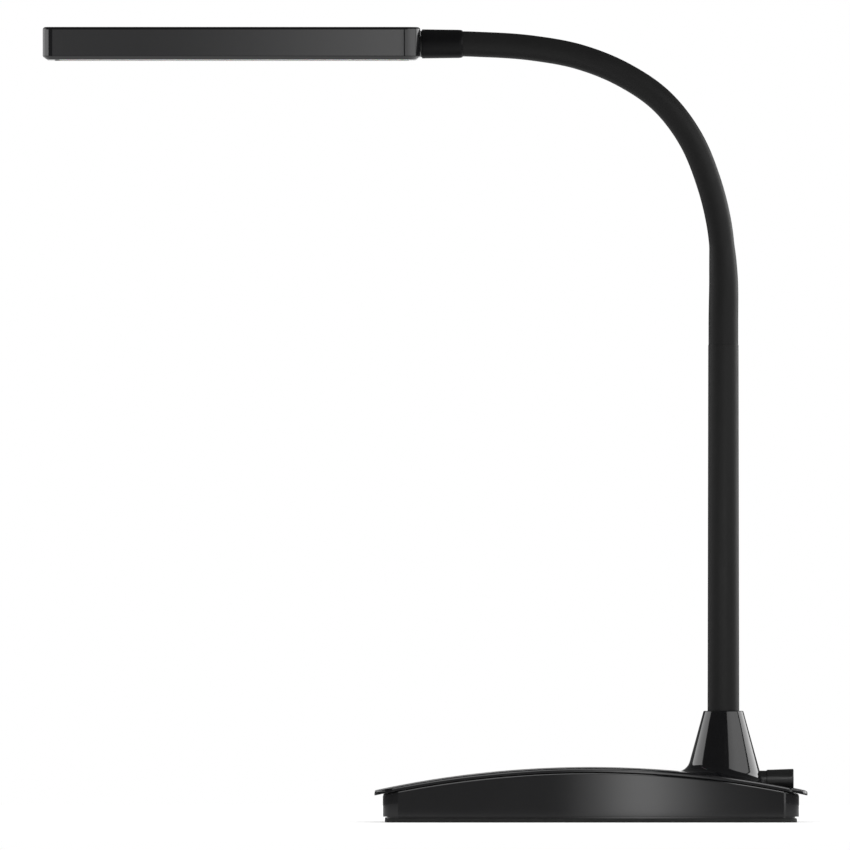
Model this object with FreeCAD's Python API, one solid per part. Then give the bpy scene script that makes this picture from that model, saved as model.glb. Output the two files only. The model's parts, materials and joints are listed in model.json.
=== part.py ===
import FreeCAD, Part
import math
import os

# Gooseneck desk lamp, in millimetres.
# +Z is up, the origin is the middle of the base's underside, and the head reaches out towards -X.

# Base: a tray with upright walls under a glossy lid that is crowned from front to back
BASE_LENGTH = 188.1
BASE_WIDTH = 98.0
BASE_HEIGHT = 24.6
BASE_CORNER = 7.3
CROWN_RADIUS = 458.0
LID_SHEET = 1.8
LID_OVERHANG_ENDS = 3.8
LID_OVERHANG_SIDES = 1.0
LID_EDGE_ROUND = 0.6
SHADOW_GAP = 0.3
ROOM_ABOVE = 20.0
TRAY_WALL = 2.0
TRAY_FLOOR = 2.0
TRAY_TOP_CHAMFER = 0.4
SKIRT_WALL = 1.5
SKIRT_GAP = 0.15
SKIRT_BOTTOM_Z = 10.0
MAT_THICKNESS = 1.8
MAT_INSET = 0.9
PAD_DROP = 0.8
PAD_INSET = 1.8

# Ballast: a steel plate on bosses and ribs in the tray
BALLAST_THICKNESS = 5.5
BALLAST_MARGIN_ENDS = 14.0
BALLAST_MARGIN_SIDES = 4.0
BALLAST_CORNER = 5.0
BALLAST_LIFT = 2.2
BALLAST_SCREW_INSET_ENDS = 10.0
BALLAST_SCREW_INSET_SIDES = 7.0
BOSS_RADIUS = 4.0
RIB_THICKNESS = 1.6
RIB_COUNT = 3

# Fasteners: small pan-head screws, one size throughout
SCREW_RADIUS = 1.5
SCREW_HEAD_RADIUS = 2.8
SCREW_HEAD_HEIGHT = 2.1
SCREW_HOLE_GAP = 0.2
HEAD_POCKET_GAP = 0.3
SCREW_TIP_GAP = 0.5
SCREW_TIP_CHAMFER = 0.4
SCREW_DRIVE_WIDTH = 0.8
SCREW_DRIVE_DEPTH = 0.9
SCREW_DRIVE_SHARE = 0.55
SCREW_HEAD_SHOULDER = 0.6
SCREW_HEAD_CROWN = 0.75

# Lid posts for the screws that close the base from below
LID_POST_RADIUS = 3.6
LID_POST_INSET_ENDS = 8.1
LID_POST_INSET_SIDES = 7.0
LID_SKIN_UNDER_HOLES = 0.5
TRAY_BOSS_EXTRA = 0.6

# Cone that carries the stem out of the lid, and the inlet barrel behind it
STEM_FROM_REAR = 33.85
CONE_TOP_Z = 50.3
CONE_TOP_RADIUS = 9.0
CONE_HALF_ANGLE = 15.3
CONE_WALL = 2.2
CONE_CAP = 3.0
CONE_FOOT_ROUND = 6.0
CONE_TOP_ROUND = 0.5
CONE_ROOT_DEPTH = 8.0
INLET_Z = 19.0
INLET_END_FROM_REAR = 2.05
INLET_LENGTH = 12.2
INLET_END_RADIUS = 5.0
INLET_ROOT_RADIUS = 4.6
INLET_NECK_RADIUS = 4.2
INLET_END_ROUND = 0.5

# Power socket in the barrel, for a round plug of 5.5 mm with a 2.1 mm centre contact
SOCKET_BODY_RADIUS = 3.8
SOCKET_BORE_RADIUS = 3.0
SOCKET_SET_BACK = 0.6
SOCKET_LENGTH = 11.0
SOCKET_DEPTH = 9.0
CONTACT_WALL = 0.15
CONTACT_LENGTH = 6.0
PIN_RADIUS = 1.05
PIN_SET_BACK = 1.4
PIN_TAIL = 4.0
PIN_TAIL_RADIUS = 0.7
CONTACT_SPLIT = 1.2
PRESS_GAP = 0.02

# Stem: a rigid tube from the ballast to the seam with the flexible neck
STEM_TOP_Z = 216.1
STEM_FOOT_RADIUS = 7.1
STEM_TOP_RADIUS = 6.75
STEM_WALL = 1.2
STEM_HOLE_GAP = 0.1
FLANGE_RADIUS = 14.0
FLANGE_THICKNESS = 2.5
FLANGE_SCREW_CIRCLE = 10.6
FLANGE_SCREWS = 3
LEAD_RADIUS = 1.3
LEAD_SLOT_GAP = 0.7
LEAD_BEND = 4.0
LEAD_WAY_RADIUS = 2.34
THIN_LEAD_RADIUS = 1.04
THIN_LEAD_BEND = 3.2
LEAD_ROUND_STEM = 5.2
LEAD_TURN_TO_SOCKET = 16.0
LEAD_UNDER_LID = 0.3

# Neck at rest: a straight rise from the seam, then three bends and a last one that levels it out
NECK_RISE = 31.9
NECK_LOW_BEND = 61.0
NECK_LOW_TURN_DEG = 26.0
NECK_MAIN_BEND = 42.3
NECK_MAIN_TURN_DEG = 35.1
NECK_HIGH_BEND = 43.4
NECK_HIGH_TURN_DEG = 21.9
NECK_LAST_BEND = 34.7
NECK_LAST_TURN_DEG = 7.0
NECK_HINGES = 10
SLEEVE_RADIUS = 5.6
BOOT_RADIUS = 6.62
BOOT_LENGTH = 45.0
BOOT_POWER = 2.5
CORE_RADIUS = 4.3
CORE_BORE = 2.2
CORE_GROOVES = 3
CORE_GROOVE_DEPTH = 0.5
CORE_GROOVE_PITCH = 2.6
HINGE_GAP = 0.3
SOCKET_RIM = 2.5
FERRULE_LENGTH = 20.0
FERRULE_GAP = 0.05

# Collar and swivel between the neck and the head
COLLAR_LENGTH = 18.5
COLLAR_HEAD_RADIUS = 6.45
COLLAR_NECK_RADIUS = 6.2
COLLAR_CHAMFER_LENGTH = 1.8
COLLAR_FLOOR = 2.0
SLEEVE_IN_COLLAR = 5.0
SPACER_RADIUS = 6.0
SPACER_THICKNESS = 0.7
SPIGOT_RADIUS = 3.6
SPIGOT_BORE = 2.0
SPIGOT_TAIL = 9.0
SPIGOT_CHAMFER = 0.4
RUNNING_GAP = 0.05
BUSH_WALL = 1.0
BUSH_FLANGE_RADIUS = 4.9
BUSH_FLANGE_THICKNESS = 1.0
SPRING_WASHER_THICKNESS = 0.8
SPRING_WASHER_RADIUS = 4.7
NUT_ACROSS_FLATS = 8.2
NUT_THICKNESS = 3.2

# Head: a slab with a lit underside
HEAD_LENGTH = 170.9
HEAD_WIDTH = 40.0
HEAD_THICKNESS = 14.8
HEAD_NECK_CORNER = 7.5
HEAD_TIP_CORNER = 4.4
HEAD_TOP_ROUND = 1.2
HEAD_WALL = 1.6
HEAD_ROOF = 1.8
HEAD_END_WALL = 3.0
BEZEL_HEIGHT = 1.65
BEZEL_SLOPE = 2.3
BEZEL_LIP = 1.2
BEZEL_LIP_RISE = 2.4
BEZEL_GAP = 0.1
NUT_ROOM = 7.5
WINDOW_INSET = 5.4
WINDOW_LEDGE = 1.2
WINDOW_LEDGE_THICKNESS = 0.8
DIFFUSER_THICKNESS = 1.6
DIFFUSER_SET_BACK = 0.15
REFLECTOR_WALL = 0.8
REFLECTOR_LEAN = 3.0
REFLECTOR_SET_IN = 1.0
REFLECTOR_CORNER = 1.0
LIGHT_GAP = 1.6
LED_BOARD_THICKNESS = 1.2
LED_BOARD_START = 20.0
LED_BOARD_END_GAP = 9.0
LED_BOARD_WIDTH = 25.0
LED_ROWS = 2
LED_COLUMNS = 15
LED_LENGTH = 3.5
LED_WIDTH = 2.8
LED_HEIGHT = 0.7
LED_ROW_SPACING = 12.0
LED_END_MARGIN = 5.0
SPREADER_THICKNESS = 1.5
SPREADER_MARGIN = 1.5
HEAD_SCREW_INSET = 9.0
HEAD_BOSS_RADIUS = 3.0
HEAD_SMALLEST_CORNER = 0.6
HEAD_SOCKET_LENGTH = 3.0
HEAD_SOCKET_WIDTH = 6.0
HEAD_SOCKET_HEIGHT = 2.2
HEAD_LEAD_RADIUS = 0.9
HEAD_LEAD_BEND = 2.0

# Control electronics, hung under the lid
BOARD_THICKNESS = 1.6
BOARD_BOTTOM_Z = 15.1
BOARD_LENGTH = 84.0
BOARD_WIDTH = 44.0
BOARD_FRONT_FROM_FRONT = 34.0
BOARD_SCREW_INSET = 4.0
BOARD_POST_RADIUS = 3.0
KEY_RADIUS = 8.0
KEY_THICKNESS = 0.7
KEY_GAP = 0.05
KEY_FROM_FRONT = 44.0
TOUCH_COLUMN_RADIUS = 3.0
CHIP_SIDE = 7.0
CHIP_FROM_MIDDLE = 14.0
CHIP_HEIGHT = 1.2
COIL_RADIUS = 3.5
COIL_HEIGHT = 3.0
COIL_FROM_MIDDLE = 12.0
COIL_ASIDE = 8.0
CAN_RADIUS = 2.2
CAN_HEIGHT = 3.6
CAN_SPACING = 8.0
CAN_ASIDE = 9.0
LEAD_SOCKET_LENGTH = 6.0
LEAD_SOCKET_WIDTH = 8.0
LEAD_SOCKET_HEIGHT = 4.2
LEAD_SOCKET_SPACING = 10.4

# Places that follow from the sizes above
base_half_length = BASE_LENGTH / 2
base_half_width = BASE_WIDTH / 2
tray_bottom_z = MAT_THICKNESS + PAD_DROP
floor_top_z = tray_bottom_z + TRAY_FLOOR
ballast_bottom_z = floor_top_z + BALLAST_LIFT
ballast_top_z = ballast_bottom_z + BALLAST_THICKNESS
tray_drop = LID_SHEET + SHADOW_GAP
stem_x = base_half_length - STEM_FROM_REAR
inlet_end_x = base_half_length - INLET_END_FROM_REAR
inlet_root_x = inlet_end_x - INLET_LENGTH
board_front_x = -base_half_length + BOARD_FRONT_FROM_FRONT
board_top_z = BOARD_BOTTOM_Z + BOARD_THICKNESS
key_x = -base_half_length + KEY_FROM_FRONT
above_all_z = BASE_HEIGHT + ROOM_ABOVE
lid_post_x = base_half_length - LID_POST_INSET_ENDS - TRAY_WALL
lid_post_y = base_half_width - LID_POST_INSET_SIDES - TRAY_WALL
ballast_half_length = base_half_length - TRAY_WALL - BALLAST_MARGIN_ENDS
ballast_half_width = base_half_width - TRAY_WALL - BALLAST_MARGIN_SIDES
ballast_screw_x = ballast_half_length - BALLAST_SCREW_INSET_ENDS
ballast_screw_y = ballast_half_width - BALLAST_SCREW_INSET_SIDES
neck_stretches = [
    (0.0, NECK_RISE), (NECK_LOW_TURN_DEG, NECK_LOW_BEND), (NECK_MAIN_TURN_DEG, NECK_MAIN_BEND),
    (NECK_HIGH_TURN_DEG, NECK_HIGH_BEND), (NECK_LAST_TURN_DEG, NECK_LAST_BEND),
]
neck_length = sum(length for turn, length in neck_stretches)
link_length = neck_length / NECK_HINGES


def V(x, y, z):
    return FreeCAD.Vector(x, y, z)


# Small helpers for outlines, turned pieces and screws
def outline(x_first, x_last, half_width, corner_first, corner_last, z=0.0):
    """A closed rectangle with round corners, of one radius at each end."""
    w, a, b = half_width, corner_first, corner_last
    s = math.sqrt(0.5)

    def corner(centre_x, centre_y, radius, sign_x, sign_y, swap):
        on_x = V(centre_x + sign_x * radius, centre_y, z)
        on_y = V(centre_x, centre_y + sign_y * radius, z)
        middle = V(centre_x + sign_x * radius * s, centre_y + sign_y * radius * s, z)
        ends = (on_y, on_x) if swap else (on_x, on_y)
        return Part.Arc(ends[0], middle, ends[1]).toShape()

    def line(x0, y0, x1, y1):
        return Part.LineSegment(V(x0, y0, z), V(x1, y1, z)).toShape()

    return Part.Wire([
        line(x_first + a, -w, x_last - b, -w),
        corner(x_last - b, -w + b, b, 1, -1, True),
        line(x_last, -w + b, x_last, w - b),
        corner(x_last - b, w - b, b, 1, 1, False),
        line(x_last - b, w, x_first + a, w),
        corner(x_first + a, w - a, a, -1, 1, True),
        line(x_first, w - a, x_first, -w + a),
        corner(x_first + a, -w + a, a, -1, -1, False),
    ])


def slab(x_first, x_last, half_width, corner_first, corner_last, z0, z1):
    face = Part.Face(outline(x_first, x_last, half_width, corner_first, corner_last, z0))
    return face.extrude(V(0, 0, z1 - z0))


def base_slab(grow_ends, grow_sides, z0, z1):
    """The base's plan, larger or smaller than its walls, between two heights."""
    corner = max(BASE_CORNER + min(grow_ends, grow_sides), 0.5)
    reach = base_half_length + grow_ends
    return slab(-reach, reach, base_half_width + grow_sides, corner, corner, z0, z1)


def crown(drop):
    """Everything below the lid's crowned surface, or below one that lies deeper by drop."""
    reach = base_half_width + LID_OVERHANG_SIDES + 10
    centre = V(0, -reach, BASE_HEIGHT - CROWN_RADIUS)
    return Part.makeCylinder(CROWN_RADIUS - drop, 2 * reach, centre, V(0, 1, 0))


def crown_z(x, drop=0.0):
    return BASE_HEIGHT - CROWN_RADIUS + math.sqrt((CROWN_RADIUS - drop) ** 2 - x * x)


def post(x, y, radius, z0, z1):
    return Part.makeCylinder(radius, z1 - z0, V(x, y, z0))


def box(x0, x1, y0, y1, z0, z1):
    return Part.makeBox(x1 - x0, y1 - y0, z1 - z0, V(x0, y0, z0))


def four(x, y):
    """The four places that mirror one another about the base's middle."""
    return [(i * x, j * y) for i in (-1, 1) for j in (-1, 1)]


def fuse(shapes):
    whole = shapes[0]
    for shape in shapes[1:]:
        whole = whole.fuse(shape)
    return whole.removeSplitter()


def cut(whole, shapes):
    for shape in shapes:
        whole = whole.cut(shape)
    return whole


def sphere_height(radius, r):
    return math.sqrt(radius * radius - r * r)


def segment(r0, z0, r1, z1):
    return Part.LineSegment(V(r0, 0, z0), V(r1, 0, z1)).toShape()


def sphere_arc(centre_z, radius, r_from, r_to):
    """An arc on the upper side of a sphere round the axis, from one distance off it to another."""
    def on(angle):
        return V(radius * math.sin(angle), 0, centre_z + radius * math.cos(angle))

    first = math.asin(min(1.0, r_from / radius))
    last = math.asin(min(1.0, r_to / radius))
    return Part.Arc(on(first), on((first + last) / 2), on(last)).toShape()


def turned(edges):
    """A solid of revolution about Z from the closed outline of its right half."""
    return Part.Face(Part.Wire(edges)).revolve(V(0, 0, 0), V(0, 0, 1), 360)


def turned_steps(points):
    """A solid of revolution about Z whose half outline is straight between its points."""
    closed = points + points[:1]
    return turned([segment(*closed[i], *closed[i + 1]) for i in range(len(points))])


def screw(grip):
    """A pan-head screw that points down, with its head's seat at the origin."""
    half = SCREW_DRIVE_WIDTH / 2
    slot_z = SCREW_HEAD_HEIGHT - SCREW_DRIVE_DEPTH
    slot = box(-half, half, -SCREW_HEAD_RADIUS, SCREW_HEAD_RADIUS, slot_z, SCREW_HEAD_HEIGHT + 1)
    across = slot.copy()
    across.rotate(V(0, 0, 0), V(0, 0, 1), 90)
    recess = post(0, 0, SCREW_HEAD_RADIUS * SCREW_DRIVE_SHARE, slot_z, SCREW_HEAD_HEIGHT + 1)
    body = turned_steps([
        (0, -grip), (SCREW_RADIUS - SCREW_TIP_CHAMFER, -grip), (SCREW_RADIUS, -grip + SCREW_TIP_CHAMFER),
        (SCREW_RADIUS, 0), (SCREW_HEAD_RADIUS, 0),
        (SCREW_HEAD_RADIUS, SCREW_HEAD_HEIGHT * SCREW_HEAD_SHOULDER),
        (SCREW_HEAD_RADIUS * SCREW_HEAD_CROWN, SCREW_HEAD_HEIGHT), (0, SCREW_HEAD_HEIGHT),
    ])
    return body.cut(slot.fuse(across).common(recess))


def lead(points, radius, bend):
    """A round lead along straight runs that are joined by tangent arcs."""
    edges = []
    start = points[0]
    for before, at, after in zip(points, points[1:], points[2:]):
        into = (at - before).normalize()
        out = (after - at).normalize()
        half_turn = into.getAngle(out) / 2
        reach = bend * math.tan(half_turn)
        first = at - into * reach
        last = at + out * reach
        middle_way = (out - into).normalize()
        middle = at + middle_way * (bend / math.cos(half_turn) - bend)
        edges.append(Part.LineSegment(start, first).toShape())
        edges.append(Part.Arc(first, middle, last).toShape())
        start = last
    edges.append(Part.LineSegment(start, points[-1]).toShape())
    path = Part.Wire(edges)
    section = Part.Wire([Part.Circle(points[0], points[1] - points[0], radius).toShape()])
    return path.makePipeShell([section], True, False)


def moved(shape, place):
    copy = shape.copy()
    copy.Placement = place.multiply(copy.Placement)
    return copy


# Base
def base_cover():
    """Crowned lid with its skirt, screw posts, the cone for the stem and the barrel for the socket."""
    whole = base_slab(LID_OVERHANG_ENDS, LID_OVERHANG_SIDES, 0, above_all_z)
    solid = whole.common(crown(0))
    rim = [e for e in solid.Edges if e.BoundBox.ZMin > floor_top_z]
    solid = solid.makeFillet(LID_EDGE_ROUND, rim)

    slope = math.tan(math.radians(CONE_HALF_ANGLE))
    lid_z = crown_z(stem_x)
    cone_foot_z = lid_z - CONE_ROOT_DEPTH
    foot_radius = CONE_TOP_RADIUS + (CONE_TOP_Z - cone_foot_z) * slope
    cone = Part.makeCone(foot_radius, CONE_TOP_RADIUS, CONE_TOP_Z - cone_foot_z, V(stem_x, 0, cone_foot_z))
    solid = solid.fuse(cone)
    near = CONE_FOOT_ROUND
    reach = CONE_TOP_RADIUS + (CONE_TOP_Z - lid_z) * slope + near / 2
    foot_box = FreeCAD.BoundBox(stem_x - reach, -reach, lid_z - near, stem_x + reach, reach, lid_z + near)
    foot_edges = [e for e in solid.Edges if foot_box.isInside(e.BoundBox) and e.Length > reach / 2]
    solid = solid.makeFillet(CONE_FOOT_ROUND, foot_edges)
    top_edges = [e for e in solid.Edges if e.BoundBox.ZMin > CONE_TOP_Z - 0.01]
    solid = solid.makeFillet(CONE_TOP_ROUND, top_edges)

    solid = fuse([solid, inlet_barrel()])
    below = base_slab(LID_OVERHANG_ENDS + 1, LID_OVERHANG_SIDES + 1, -1, above_all_z)
    solid = solid.cut(below.common(crown(LID_SHEET)))
    skirt_out = -TRAY_WALL - SKIRT_GAP
    skirt_in = skirt_out - SKIRT_WALL
    skirt = base_slab(skirt_out, skirt_out, SKIRT_BOTTOM_Z, above_all_z)
    skirt = skirt.cut(base_slab(skirt_in, skirt_in, 0, above_all_z + 1)).common(crown(LID_SHEET / 2))
    posts = [post(x, y, LID_POST_RADIUS, ballast_bottom_z, above_all_z).common(crown(LID_SHEET / 2))
             for x, y in four(lid_post_x, lid_post_y)]
    board_posts = [post(x, y, BOARD_POST_RADIUS, board_top_z, above_all_z).common(crown(LID_SHEET / 2))
                   for x, y in board_screw_places()]
    solid = fuse([solid, skirt] + posts + board_posts)

    hollow_top_z = CONE_TOP_Z - CONE_CAP
    hollow_top_radius = CONE_TOP_RADIUS + CONE_CAP * slope - CONE_WALL
    hollow_foot_radius = foot_radius - CONE_WALL
    hollow = Part.makeCone(hollow_foot_radius, hollow_top_radius, hollow_top_z - cone_foot_z,
                           V(stem_x, 0, cone_foot_z))
    stem_hole = post(stem_x, 0, STEM_FOOT_RADIUS + STEM_HOLE_GAP, cone_foot_z, CONE_TOP_Z + 1)
    post_holes = [post(x, y, SCREW_RADIUS, ballast_bottom_z, screw_hole_top(x))
                  for x, y in four(lid_post_x, lid_post_y)]
    board_holes = [post(x, y, SCREW_RADIUS, board_top_z, screw_hole_top(x))
                   for x, y in board_screw_places()]
    key = key_recess(KEY_RADIUS + KEY_GAP, KEY_THICKNESS)
    return cut(solid, [hollow, stem_hole, key, socket_bore()] + post_holes + board_holes)


def screw_hole_top(x):
    """How high a screw hole goes in a post under the lid."""
    return crown_z(x, LID_SHEET) - LID_SKIN_UNDER_HOLES


def inlet_barrel():
    """A round neck out of the cone's foot, and a slightly flared barrel with a rounded end."""
    neck_start_x = stem_x + STEM_FOOT_RADIUS
    axis = FreeCAD.Placement(V(inlet_root_x, 0, INLET_Z), FreeCAD.Rotation(V(0, 0, 1), V(1, 0, 0)))
    barrel = Part.makeCone(INLET_ROOT_RADIUS, INLET_END_RADIUS, INLET_LENGTH)
    end = [e for e in barrel.Edges if e.BoundBox.ZMin > INLET_LENGTH - 0.01]
    barrel = moved(barrel.makeFillet(INLET_END_ROUND, end), axis)
    neck = Part.makeCylinder(INLET_NECK_RADIUS, inlet_root_x - neck_start_x,
                             V(neck_start_x, 0, INLET_Z), V(1, 0, 0))
    return barrel.fuse(neck)


def socket_bore():
    """The bore that holds the power socket, with a narrower way in for its lead."""
    seat_x = inlet_end_x - SOCKET_LENGTH - SOCKET_SET_BACK
    bore = Part.makeCylinder(SOCKET_BODY_RADIUS, inlet_end_x - seat_x + 1,
                             V(seat_x, 0, INLET_Z), V(1, 0, 0))
    way = Part.makeCylinder(LEAD_WAY_RADIUS, seat_x - stem_x, V(stem_x, 0, INLET_Z), V(1, 0, 0))
    return bore.fuse(way)


def key_recess(radius, depth):
    """A round piece of the lid's outer skin, as deep as the touch key."""
    disc = post(key_x, 0, radius, 0, above_all_z)
    return disc.common(crown(0)).cut(crown(depth))


def board_screw_places():
    x0 = board_front_x + BOARD_SCREW_INSET
    x1 = board_front_x + BOARD_LENGTH - BOARD_SCREW_INSET
    y = BOARD_WIDTH / 2 - BOARD_SCREW_INSET
    return [(x0, -y), (x0, y), (x1, -y), (x1, y)]


def base_tray():
    """Tray with upright walls, whose top edge follows the lid a shadow gap below it."""
    solid = base_slab(0, 0, tray_bottom_z, above_all_z).common(crown(tray_drop))
    top = [e for e in solid.Edges if e.BoundBox.ZMin > floor_top_z]
    solid = solid.makeChamfer(TRAY_TOP_CHAMFER, top)
    solid = solid.cut(base_slab(-TRAY_WALL, -TRAY_WALL, floor_top_z, above_all_z))
    pad = base_slab(-PAD_INSET, -PAD_INSET, MAT_THICKNESS, floor_top_z)
    bosses = [post(x, y, LID_POST_RADIUS + TRAY_BOSS_EXTRA, floor_top_z, ballast_bottom_z)
              for x, y in four(lid_post_x, lid_post_y)]
    seats = [post(x, y, BOSS_RADIUS, floor_top_z, ballast_bottom_z)
             for x, y in four(ballast_screw_x, ballast_screw_y)]
    pitch = 2 * ballast_screw_x / (RIB_COUNT + 1)
    half_rib = RIB_THICKNESS / 2
    places = [pitch * (i + 1) - ballast_screw_x for i in range(RIB_COUNT)]
    ribs = [box(x - half_rib, x + half_rib, -ballast_half_width, ballast_half_width,
                floor_top_z, ballast_bottom_z) for x in places]
    ribs.append(box(-ballast_screw_x, ballast_screw_x, -half_rib, half_rib, floor_top_z, ballast_bottom_z))
    solid = fuse([solid, pad] + bosses + seats + ribs)
    pocket_top_z = MAT_THICKNESS + SCREW_HEAD_HEIGHT + HEAD_POCKET_GAP
    pockets = [post(x, y, SCREW_HEAD_RADIUS + HEAD_POCKET_GAP, MAT_THICKNESS, pocket_top_z)
               for x, y in four(lid_post_x, lid_post_y)]
    holes = [post(x, y, SCREW_RADIUS + SCREW_HOLE_GAP, MAT_THICKNESS, ballast_bottom_z)
             for x, y in four(lid_post_x, lid_post_y)]
    pilots = [post(x, y, SCREW_RADIUS, tray_bottom_z, ballast_bottom_z)
              for x, y in four(ballast_screw_x, ballast_screw_y)]
    return cut(solid, pockets + holes + pilots)


def foot_mat():
    mat = base_slab(-MAT_INSET, -MAT_INSET, 0, MAT_THICKNESS)
    top = [e for e in mat.Edges if e.BoundBox.ZMin > MAT_THICKNESS - 0.01]
    return mat.makeFillet(MAT_THICKNESS / 5, top)


def ballast_plate():
    plate = slab(-ballast_half_length, ballast_half_length, ballast_half_width,
                 BALLAST_CORNER, BALLAST_CORNER, ballast_bottom_z, ballast_top_z)
    holes = [post(x, y, SCREW_RADIUS + SCREW_HOLE_GAP, ballast_bottom_z, ballast_top_z)
             for x, y in four(ballast_screw_x, ballast_screw_y)]
    taps = [post(x, y, SCREW_RADIUS, ballast_bottom_z, ballast_top_z) for x, y in flange_screw_places()]
    return cut(plate, holes + taps)


def flange_screw_places():
    """A circle of places round the stem, with the first one to its side, clear of the leads."""
    angles = [math.pi / 2 + i * 2 * math.pi / FLANGE_SCREWS for i in range(FLANGE_SCREWS)]
    return [(stem_x + FLANGE_SCREW_CIRCLE * math.cos(a), FLANGE_SCREW_CIRCLE * math.sin(a)) for a in angles]


def screws_at(places, seat_z, grip, up=False):
    made = []
    for x, y in places:
        one = screw(grip)
        if up:
            one.rotate(V(0, 0, 0), V(1, 0, 0), 180)
        one.translate(V(x, y, seat_z))
        made.append(one)
    return Part.makeCompound(made)


def ballast_screws():
    grip = ballast_top_z - tray_bottom_z - SCREW_TIP_GAP
    return screws_at(four(ballast_screw_x, ballast_screw_y), ballast_top_z, grip)


def cover_screws():
    seat_z = MAT_THICKNESS + SCREW_HEAD_HEIGHT + HEAD_POCKET_GAP
    grip = screw_hole_top(lid_post_x) - SCREW_TIP_GAP - seat_z
    return screws_at(four(lid_post_x, lid_post_y), seat_z, grip, up=True)


def flange_screws():
    grip = FLANGE_THICKNESS + BALLAST_THICKNESS - SCREW_TIP_GAP
    return screws_at(flange_screw_places(), ballast_top_z + FLANGE_THICKNESS, grip)


def board_screws():
    grip = min(screw_hole_top(x) for x, y in board_screw_places()) - SCREW_TIP_GAP - BOARD_BOTTOM_Z
    return screws_at(board_screw_places(), BOARD_BOTTOM_Z, grip, up=True)


# Stem
def stem_outer(grow=0.0):
    straight = post(stem_x, 0, STEM_FOOT_RADIUS + grow, ballast_top_z, CONE_TOP_Z)
    taper = Part.makeCone(STEM_FOOT_RADIUS + grow, STEM_TOP_RADIUS + grow, STEM_TOP_Z - CONE_TOP_Z,
                          V(stem_x, 0, CONE_TOP_Z))
    return straight.fuse(taper)


def stem_tube():
    """Tapered tube with a window at its foot where the lead comes out."""
    tube = stem_outer().removeSplitter().cut(stem_outer(-STEM_WALL))
    half = LEAD_RADIUS + LEAD_SLOT_GAP
    window_z = lead_entry_z()
    window = box(stem_x - STEM_FOOT_RADIUS - 1, stem_x, -half, half,
                 window_z - half, window_z + LEAD_BEND)
    return tube.cut(window)


def stem_flange():
    """Steel disc that the stem's foot is welded into, screwed down on the ballast."""
    disc = post(stem_x, 0, FLANGE_RADIUS, ballast_top_z, ballast_top_z + FLANGE_THICKNESS)
    hole = post(stem_x, 0, STEM_FOOT_RADIUS, ballast_top_z, ballast_top_z + FLANGE_THICKNESS)
    holes = [post(x, y, SCREW_RADIUS + SCREW_HOLE_GAP, ballast_top_z, ballast_top_z + FLANGE_THICKNESS)
             for x, y in flange_screw_places()]
    return cut(disc, [hole] + holes)


def stem_lead():
    """Lead from the control board, in at the stem's foot and up to the neck."""
    z = lead_entry_z()
    return lead([V(lamp_socket_x(), 0, z), V(stem_x, 0, z), V(stem_x, 0, STEM_TOP_Z - FERRULE_LENGTH - 1)],
                LEAD_RADIUS, LEAD_BEND)


def lead_entry_z():
    """Height of the leads: the middle of their sockets, or lower where the lid comes down on them."""
    under_lid = crown_z(stem_x - STEM_FOOT_RADIUS - LEAD_ROUND_STEM, LID_SHEET) - LEAD_RADIUS - LEAD_UNDER_LID
    return min(board_top_z + LEAD_SOCKET_HEIGHT / 2, under_lid)


def lamp_socket_x():
    return board_front_x + BOARD_LENGTH


# Control electronics
def control_board():
    x1 = board_front_x + BOARD_LENGTH
    board = box(board_front_x, x1, -BOARD_WIDTH / 2, BOARD_WIDTH / 2, BOARD_BOTTOM_Z, board_top_z)
    holes = [post(x, y, SCREW_RADIUS + SCREW_HOLE_GAP, BOARD_BOTTOM_Z, board_top_z)
             for x, y in board_screw_places()]
    return cut(board, holes)


def board_parts():
    """The controller chip, the driver's coil and two capacitor cans."""
    half = CHIP_SIDE / 2
    chip_x = board_front_x + BOARD_LENGTH / 2 - CHIP_FROM_MIDDLE
    coil_x = board_front_x + BOARD_LENGTH / 2 + COIL_FROM_MIDDLE
    chip = box(chip_x - half, chip_x + half, -half, half, board_top_z, board_top_z + CHIP_HEIGHT)
    coil = post(coil_x, COIL_ASIDE, COIL_RADIUS, board_top_z, board_top_z + COIL_HEIGHT)
    cans = [post(coil_x + i * CAN_SPACING, -CAN_ASIDE, CAN_RADIUS, board_top_z, board_top_z + CAN_HEIGHT)
            for i in range(2)]
    return Part.makeCompound([chip, coil] + cans)


def lead_sockets():
    """Two plug-in sockets at the board's rear edge, for the lamp's lead and the power lead."""
    x1 = lamp_socket_x()
    x0 = x1 - LEAD_SOCKET_LENGTH
    half = LEAD_SOCKET_WIDTH / 2
    z1 = board_top_z + LEAD_SOCKET_HEIGHT
    return Part.makeCompound([box(x0, x1, y - half, y + half, board_top_z, z1)
                              for y in (0.0, -LEAD_SOCKET_SPACING)])


def touch_key():
    return key_recess(KEY_RADIUS, KEY_THICKNESS - KEY_GAP)


def touch_column():
    """Conductive rubber column between the board and the lid under the key."""
    return post(key_x, 0, TOUCH_COLUMN_RADIUS, board_top_z, above_all_z).common(crown(LID_SHEET))


# Power socket
def socket_frame():
    """The socket's frame: Z points out of its mouth and the origin is at its inner end."""
    seat_x = inlet_end_x - SOCKET_LENGTH - SOCKET_SET_BACK
    return FreeCAD.Placement(V(seat_x, 0, INLET_Z), FreeCAD.Rotation(V(0, 0, 1), V(1, 0, 0)))


def inlet_body():
    back = SOCKET_LENGTH - SOCKET_DEPTH
    r = SOCKET_BODY_RADIUS - PRESS_GAP
    return moved(turned_steps([
        (PIN_TAIL_RADIUS, 0), (r, 0), (r, SOCKET_LENGTH), (SOCKET_BORE_RADIUS, SOCKET_LENGTH),
        (SOCKET_BORE_RADIUS, back), (PIN_TAIL_RADIUS, back),
    ]), socket_frame())


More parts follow.
